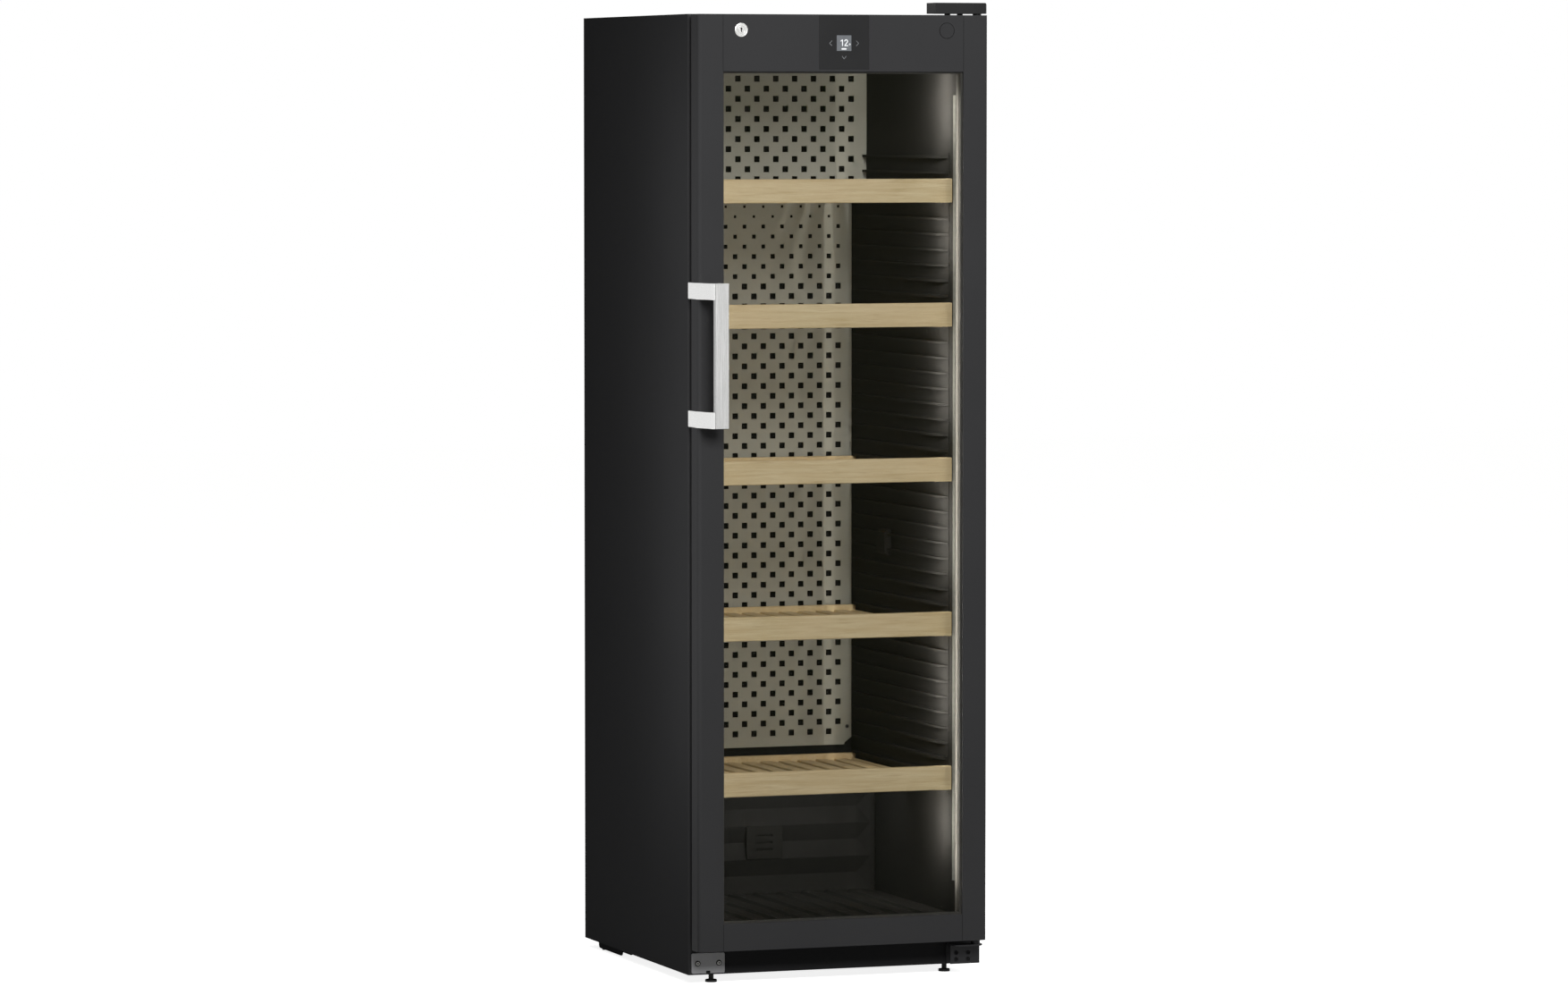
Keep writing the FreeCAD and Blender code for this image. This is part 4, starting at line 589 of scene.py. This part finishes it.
lit_lines = [(polyline(one), numeral_width), (two_top, numeral_width), (two_foot, numeral_width),
             (degree, degree_width), (status, status_width)]
numerals = [stroke(line, width, lit_depth, lit_y) for line, width in lit_lines]
piece_from_grids("temperature_numerals", numerals, "door", numerals_white)

# %% Touch marks
mark_width, mark_depth, mark_lift = 1.1 * MM, 0.1 * MM, 0.03 * MM
mark_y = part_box("control_panel")[0].y - mark_lift
key_left = base + np.array([[-25.2, 4.2], [-30.0, -0.4], [-25.2, -5.0]]) * MM
key_right = base + np.array([[25.2, 4.2], [30.0, -0.4], [25.2, -5.0]]) * MM
key_down = base + np.array([[-4.0, -25.4], [0.0, -30.6], [4.0, -25.4]]) * MM
marks_grey = moulded("grey printed mark", "#626466", "#707274", 0.5, gloss=0.2)
keys = (key_left, key_right, key_down)
marks = [stroke(polyline(key), mark_width, mark_depth, mark_y) for key in keys]
piece_from_grids("touch_marks", marks, "door", marks_grey)


# %% [markdown]
# ## Turned rings, the key slot and the frame's seams
# A bead runs round the lock's rose and a second one round its core, and a thin black ring in the gap
# round the plug in the spare lock hole is painted shade, the shadow of that narrow gap. All are a small
# circle carried round a larger one, a torus, which is the simplest of all surfaces of revolution. The
# key slot and the fine seams where the rails of the door meet its stiles are seen as dark lines, so they
# are strokes like the touch marks. Their black is painted shade as well, the shadow inside the slot and
# the gaps.

# %% Beads of the lock
ring_rows = 73
bead_points = 12


def torus(centre, radius, bead, flatten=1.0):
    """Circle of radius bead carried round an axis along y: the distance from the axis is the radius
    plus bead times cos(b), and the height along the axis is bead times flatten times sin(b)."""
    a = np.linspace(0, 2 * np.pi, ring_rows)[:, None]
    b = np.linspace(0, 2 * np.pi, bead_points, endpoint=False)[None, :]
    reach = radius + bead * np.cos(b)
    y = np.broadcast_to(centre[1] + bead * flatten * np.sin(b), (ring_rows, bead_points))
    return np.stack([centre[0] + reach * np.cos(a), y, centre[2] + reach * np.sin(a)], axis=-1)


rose_radius, rose_bead = 11.6 * MM, 0.7 * MM
core_radius, core_bead, core_sink = 7.2 * MM, 0.45 * MM, 0.05 * MM
rose_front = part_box("lock_cylinder")[0].y
beads = [torus((lock_x, rose_front + rose_bead / 2, lock_z), rose_radius, rose_bead),
         torus((lock_x, rose_front + core_sink, lock_z), core_radius, core_bead)]
piece_from_grids("lock_rim_beads", beads, "door", nickel)

# %% Ring of the plug
plug_bead, plug_sink = 0.8 * MM, 0.45 * MM
low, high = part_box("lock_blank_plug")
plug_centre = ((low.x + high.x) / 2, low.y + plug_sink, (low.z + high.z) / 2)
# The ring's black is painted shade: the shadow in the narrow gap round the plug.
plug_shade_ring = torus(plug_centre, (high.x - low.x) / 2, plug_bead, flatten=0.4)
gap_black = moulded("shadow in a narrow gap", "#0a0a0a", "#101010", 0.8, gloss=0.03)
piece_from_grids("plug_gap_shade_ring", [plug_shade_ring], "door", gap_black)

# %% Key slot
# The key slot's and the seams' black is painted shade: the shadow inside the slot and in the gaps where
# rails meet stiles.
line_depth, line_lift = 0.06 * MM, 0.02 * MM
blade_width, head_width = 2.0 * MM, 3.6 * MM
slot_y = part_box("lock_core")[0].y - line_lift
slot_blade = np.array([[lock_x, lock_z - 3.4 * MM], [lock_x, lock_z + 2.0 * MM]])
slot_head = np.array([[lock_x, lock_z + 1.6 * MM], [lock_x, lock_z + 2.6 * MM]])
key_slot = [stroke(polyline(slot_blade), blade_width, line_depth, slot_y),
            stroke(polyline(slot_head), head_width, line_depth, slot_y)]
piece_from_grids("key_slot", key_slot, "lock_core", gap_black)

# %% Seams of the frame
seam_width, seam_margin = 0.7 * MM, 1 * MM
seams = []
for rail in ("door_header", "door_bottom_rail"):
    low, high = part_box(rail)
    for seam_x in (low.x, high.x):
        ends = np.array([[seam_x, low.z + seam_margin], [seam_x, high.z - seam_margin]])
        seams.append(stroke(polyline(ends), seam_width, line_depth, low.y - line_lift))
piece_from_grids("frame_seams", seams, "door", gap_black)


# %% [markdown]
# ## Screw recesses
# The screws have six-lobed recesses. Seen from a step away a recess is a dark star, so each is a flat
# star-shaped button in the middle of the head: its radius is a mean plus a share of cos(6 a). The two
# screws of the corner plate sit in shallow sinks, whose shadow is a flat dark ring round each head.

# %% Screw recesses
star_points = 48


def star(centre, radius, lobe, height):
    """Six-lobed button facing -y: its rows go from the middle of the back to the edge, forward to the
    face and in to its middle."""
    a = np.linspace(0, 2 * np.pi, star_points, endpoint=False)[None, :]
    share = np.array([0.0, 1.0, 1.0, 0.0])[:, None]
    y = np.array([0.0, 0.0, -1.0, -1.0])[:, None] * height + centre[1]
    reach = share * (radius + lobe * np.cos(6 * a))
    x = centre[0] + reach * np.cos(a)
    z = centre[2] + reach * np.sin(a)
    return np.stack([x, np.broadcast_to(y, x.shape), z], axis=-1)


head_height = 2 * MM
plate_inset = 12 * MM
wing_inset_x, wing_inset_z, wing_sheet = 9.5 * MM, 36 * MM, 1 * MM
recess_radius, recess_lobe, recess_height = 1.7 * MM, 0.3 * MM, 0.04 * MM
rim_radius, rim_bead, rim_lift = 4.9 * MM, 0.8 * MM, 0.1 * MM

low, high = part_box("corner_plate_left")
plate_front = low.y
plate_z = (low.z + high.z) / 2
plate_xs = (low.x + plate_inset, high.x - plate_inset)
heads = [(x, plate_front - head_height, plate_z) for x in plate_xs]
low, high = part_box("rear_air_panel")
for wing_x in (low.x + wing_inset_x, high.x - wing_inset_x):
    for wing_z in (low.z + wing_inset_z, high.z - wing_inset_z):
        heads.append((wing_x, high.y - wing_sheet - head_height, wing_z))
recess = moulded("shadow in a screw recess", "#0a0a0a", "#101010", 0.8, gloss=0.1)
stars = [star(head, recess_radius, recess_lobe, recess_height) for head in heads]
rims = [torus((x, plate_front - rim_lift, plate_z), rim_radius, rim_bead, flatten=0.5) for x in plate_xs]
piece_from_grids("screw_recesses", stars + rims, "cabinet", recess)


# %% [markdown]
# ## The door seal
# The construction model has the seal as a stepped ring. The real one is a soft extrusion: a foot in the
# door, a bellows with two folds, and a rounded head with a magnet in it. Its outline is a rounded box
# whose half width swings in at the folds, carried round the door along a rectangle with rounded
# corners.

# %% The door seal
corner_power = 0.3
fold_reach = 0.55
fold_depth = 0.35


def rounded_rectangle(half_x, low_z, high_z, corner, each=12):
    """Closed path of x and z: four quarter circles, joined by the straight runs between them."""
    quarter = np.radians(np.linspace(0, 90, each))
    centres = np.array([[half_x - corner, high_z - corner], [corner - half_x, high_z - corner],
                        [corner - half_x, low_z + corner], [half_x - corner, low_z + corner]])
    angle = quarter[None, :] + np.radians([0, 90, 180, 270])[:, None]
    bend = np.stack([np.cos(angle), np.sin(angle)], axis=-1)
    path = (centres[:, None, :] + corner * bend).reshape(-1, 2)
    return path, bend.reshape(-1, 2)


def seal_outline(front, back, half, count=48):
    """Outline round the seal: depth and reach of a box with rounded corners, |cos| and |sin| to a small
    power, whose reach is drawn in by folds that follow the square of a sine over the depth."""
    a = np.linspace(0, 2 * np.pi, count, endpoint=False)
    depth = np.sign(np.cos(a)) * np.abs(np.cos(a)) ** corner_power
    reach = np.sign(np.sin(a)) * np.abs(np.sin(a)) ** corner_power
    fold = np.where(np.abs(depth) < fold_reach, np.sin(np.pi * (depth / fold_reach + 1)) ** 2, 0)
    return (front + back) / 2 + depth * (back - front) / 2, reach * half * (1 - fold_depth * fold)


seal_half = 7 * MM
seal_corner = 16 * MM
low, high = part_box("door_gasket")
middle_x = (low.x + high.x) / 2
path, outward = rounded_rectangle((high.x - low.x) / 2 - seal_half, low.z + seal_half,
                                  high.z - seal_half, seal_corner)
path = np.concatenate([path, path[:1]])
outward = np.concatenate([outward, outward[:1]])
depth, reach = seal_outline(low.y, high.y, seal_half)
seal_grid = np.stack([middle_x + path[:, :1] + outward[:, :1] * reach,
                      np.broadcast_to(depth, (len(path), len(depth))),
                      path[:, 1:] + outward[:, 1:] * reach], axis=-1)
door_seal = piece_from_grids("door_seal_bellows", [seal_grid], "door", rubber)
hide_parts("door_gasket")


# %% [markdown]
# ## Stage
# The cabinet stands on a pale floor. To the camera, and in the mirror of metal and glass, floor and
# surroundings are white, so the picture has a clean edge all round. For the light that falls on the
# cabinet they are dimmer: the surroundings give little and the floor gives back about half, so black
# stays black and the lamps do the lighting.

# %% Floor
floor_half = 20.0
floor_lift = 0.86


def seen_rays(tree):
    """Output that is 1 for the rays that look: from the camera, off a mirror or through glass."""
    rays = add(tree, "ShaderNodeLightPath").outputs
    direct = add(tree, "ShaderNodeMath", {0: rays["Is Camera Ray"], 1: rays["Is Glossy Ray"]},
                 operation="MAXIMUM")
    seen = add(tree, "ShaderNodeMath", {0: direct.outputs[0], 1: rays["Is Transmission Ray"]},
               operation="MAXIMUM")
    return seen.outputs[0]


def stage_floor(half, count=9):
    """Flat sheet of points over x and y at the height of the feet."""
    line = np.linspace(-half, half, count)
    x, y = np.meshgrid(line, line, indexing="ij")
    return np.stack([x, y, np.zeros_like(x)], axis=-1)


paper, tree, shader, _ = start_material("white studio paper", Roughness=0.9, Specular_IOR_Level=0.0)
seen = seen_rays(tree)
lift = add(tree, "ShaderNodeMath", {0: seen, 1: floor_lift}, operation="MULTIPLY")
shader.inputs["Emission Color"].default_value = linear("#ffffff")
tree.links.new(lift.outputs[0], shader.inputs["Emission Strength"])
sheet = add(tree, "ShaderNodeMix", {0: seen, 6: linear("#b4b4b2"), 7: linear("#f4f4f2")},
            data_type="RGBA")
tree.links.new(sheet.outputs[2], shader.inputs["Base Color"])
points = stage_floor(floor_half)
rows, columns = points.shape[:2]
index = np.arange(rows * columns).reshape(rows, columns)
quads = np.stack([index[:-1, :-1], index[1:, :-1], index[1:, 1:], index[:-1, 1:]], axis=-1)
mesh = bpy.data.meshes.new("studio_floor")
mesh.from_pydata(points.reshape(-1, 3).tolist(), [], quads.reshape(-1, 4).tolist())
mesh.materials.append(paper)
floor = bpy.data.objects.new("studio_floor", mesh)
bpy.context.scene.collection.objects.link(floor)
print("floor", len(mesh.polygons), "faces")

# %% Surroundings
world_level = 0.15
world = bpy.data.worlds.new("studio")
bpy.context.scene.world = world
world.use_nodes = True
tree = world.node_tree
level = add(tree, "ShaderNodeMapRange",
            {"Value": seen_rays(tree), "To Min": world_level, "To Max": 1.0})
background = tree.nodes["Background"]
background.inputs["Color"].default_value = (1.0, 1.0, 1.0, 1.0)
tree.links.new(level.outputs[0], background.inputs["Strength"])
print("surroundings light the cabinet at", world_level)


# %% [markdown]
# ## Lamps
# A large soft lamp hangs in front and above, so the door is brightest at its top. A tall thin lamp
# stands beside the front left edge and lights the side, which fades towards the back. It is level with
# the door, so the front gets nothing from it, and as it is so near, it is kept out of the mirror of the
# handle. A soft lamp on the right lights the side that the picture doesn't show. Inside, a narrow lamp
# stands in every bay between two shelves, next to each lit strip. It faces the wall and the back, so
# that the wall is bright beside the strip and fades into the cabinet, as it does with the strips of the
# real one. The lowest and the top bay get a little more. A faint lamp on each side stands for the light
# that the strips spill on the inner frame of the door, and one under the lowest shelf for what falls
# through the slats onto the step.

# %% Lamps outside
def soft_lamp(name, size, power, place, target, colour="#ffffff"):
    """Rectangular lamp at a place, turned to face a target."""
    lamp = bpy.data.lights.new(name, "AREA")
    lamp.shape = "RECTANGLE"
    lamp.size, lamp.size_y = size
    lamp.energy = power
    lamp.color = linear(colour)[:3]
    holder = bpy.data.objects.new(name, lamp)
    bpy.context.scene.collection.objects.link(holder)
    facing = np.array(target) - np.array(place)
    holder.location = place
    holder.rotation_euler = (np.arctan2(np.hypot(facing[0], facing[1]), -facing[2]), 0,
                             np.arctan2(-facing[0], facing[1]))
    holder.visible_camera = False
    return holder


soft_lamp("front_lamp", size=(2.0, 1.4), power=158, place=(-0.4, -3.6, 2.8), target=(0.0, -0.3, 1.0))
side_lamp = soft_lamp("side_lamp", size=(0.1, 1.5), power=2.0, place=(-0.62, -0.33, 1.1),
                      target=(-0.3, -0.25, 1.1))
side_lamp.visible_glossy = False
soft_lamp("right_lamp", size=(1.2, 1.6), power=30, place=(2.3, 0.35, 1.5), target=(0.3, 0.1, 1.0))
print("lamps outside:", [item.name for item in bpy.data.lights])

# %% Lamps in the bays
strip_colour = "#fffaf0"
lamp_width = 10 * MM
bay_inset, behind_front = 60 * MM, 24 * MM
gap_below, gap_above, top_reach = 70 * MM, 12 * MM, 70 * MM
aim_outward = 1.3
watts_per_metre = 4.4
strip_low, strip_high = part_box("light_columns")
lamp_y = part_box("shelf_1")[0].y + behind_front
bay_levels = (1.35, 1.0, 1.0, 1.0, 1.0, 1.6)
floors = [strip_low.z] + [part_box(f"shelf_{shelf}")[1].z for shelf in (5, 4, 3, 2, 1)]
ceilings = [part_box(f"shelf_{shelf}")[0].z for shelf in (5, 4, 3, 2, 1)] + [strip_high.z + top_reach]
sides = (("left", strip_low.x, -1), ("right", strip_high.x, 1))
for bay, (floor_z, ceiling_z) in enumerate(zip(floors, ceilings)):
    length = ceiling_z - floor_z - gap_below - gap_above
    middle_z = (ceiling_z + floor_z + gap_below - gap_above) / 2
    power = watts_per_metre * bay_levels[bay] * length
    for side, wall_x, sign in sides:
        lamp_x = wall_x - sign * bay_inset
        soft_lamp(f"bay_{bay}_{side}", (lamp_width, length), power, (lamp_x, lamp_y, middle_z),
                  (lamp_x + sign * aim_outward, lamp_y + 1.0, middle_z), colour=strip_colour)
print(len(floors), "bays with a lamp on each side")

# %% Lamps for the door and the step
spill_inset = 45 * MM
spill_watts = 1.9
step_drop = 15 * MM
spill_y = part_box("door_gasket")[0].y
spill_z = (strip_low.z + strip_high.z) / 2
for side, wall_x, sign in sides:
    lamp_x = wall_x - sign * spill_inset
    soft_lamp(f"spill_{side}", (lamp_width, strip_high.z - strip_low.z), spill_watts,
              (lamp_x, spill_y, spill_z), (lamp_x + sign, spill_y - 1.0, spill_z), colour=strip_colour)
under_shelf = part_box("shelf_5")[0].z - step_drop
soft_lamp("step_lamp", size=(0.4, 0.04), power=0.45, place=(0.0, 0.0, under_shelf),
          target=(0.0, 0.17, under_shelf - 0.12))
print(len(bpy.data.lights), "lamps in all")


# %% [markdown]
# ## Camera
# The photograph was taken from far away with a long lens, a little left of the front and just under the
# top of the cabinet. The numbers come from fitting a camera to the cabinet's straight edges.

# %% Camera
lens = bpy.data.cameras.new("camera")
lens.sensor_width = 36.0
lens.sensor_fit = "HORIZONTAL"
lens.lens = 154.833
lens.clip_end = 100.0
camera = bpy.data.objects.new("camera", lens)
bpy.context.scene.collection.objects.link(camera)
camera.location = (-4.52601, -12.56462, 1.68635)
camera.rotation_euler = (np.radians(90 - 3.2249), 0, np.radians(-19.7931))
bpy.context.scene.camera = camera
bpy.context.scene.view_settings.view_transform = "Standard"
print("camera", np.round(camera.location, 3).tolist(), "lens", lens.lens, "mm")
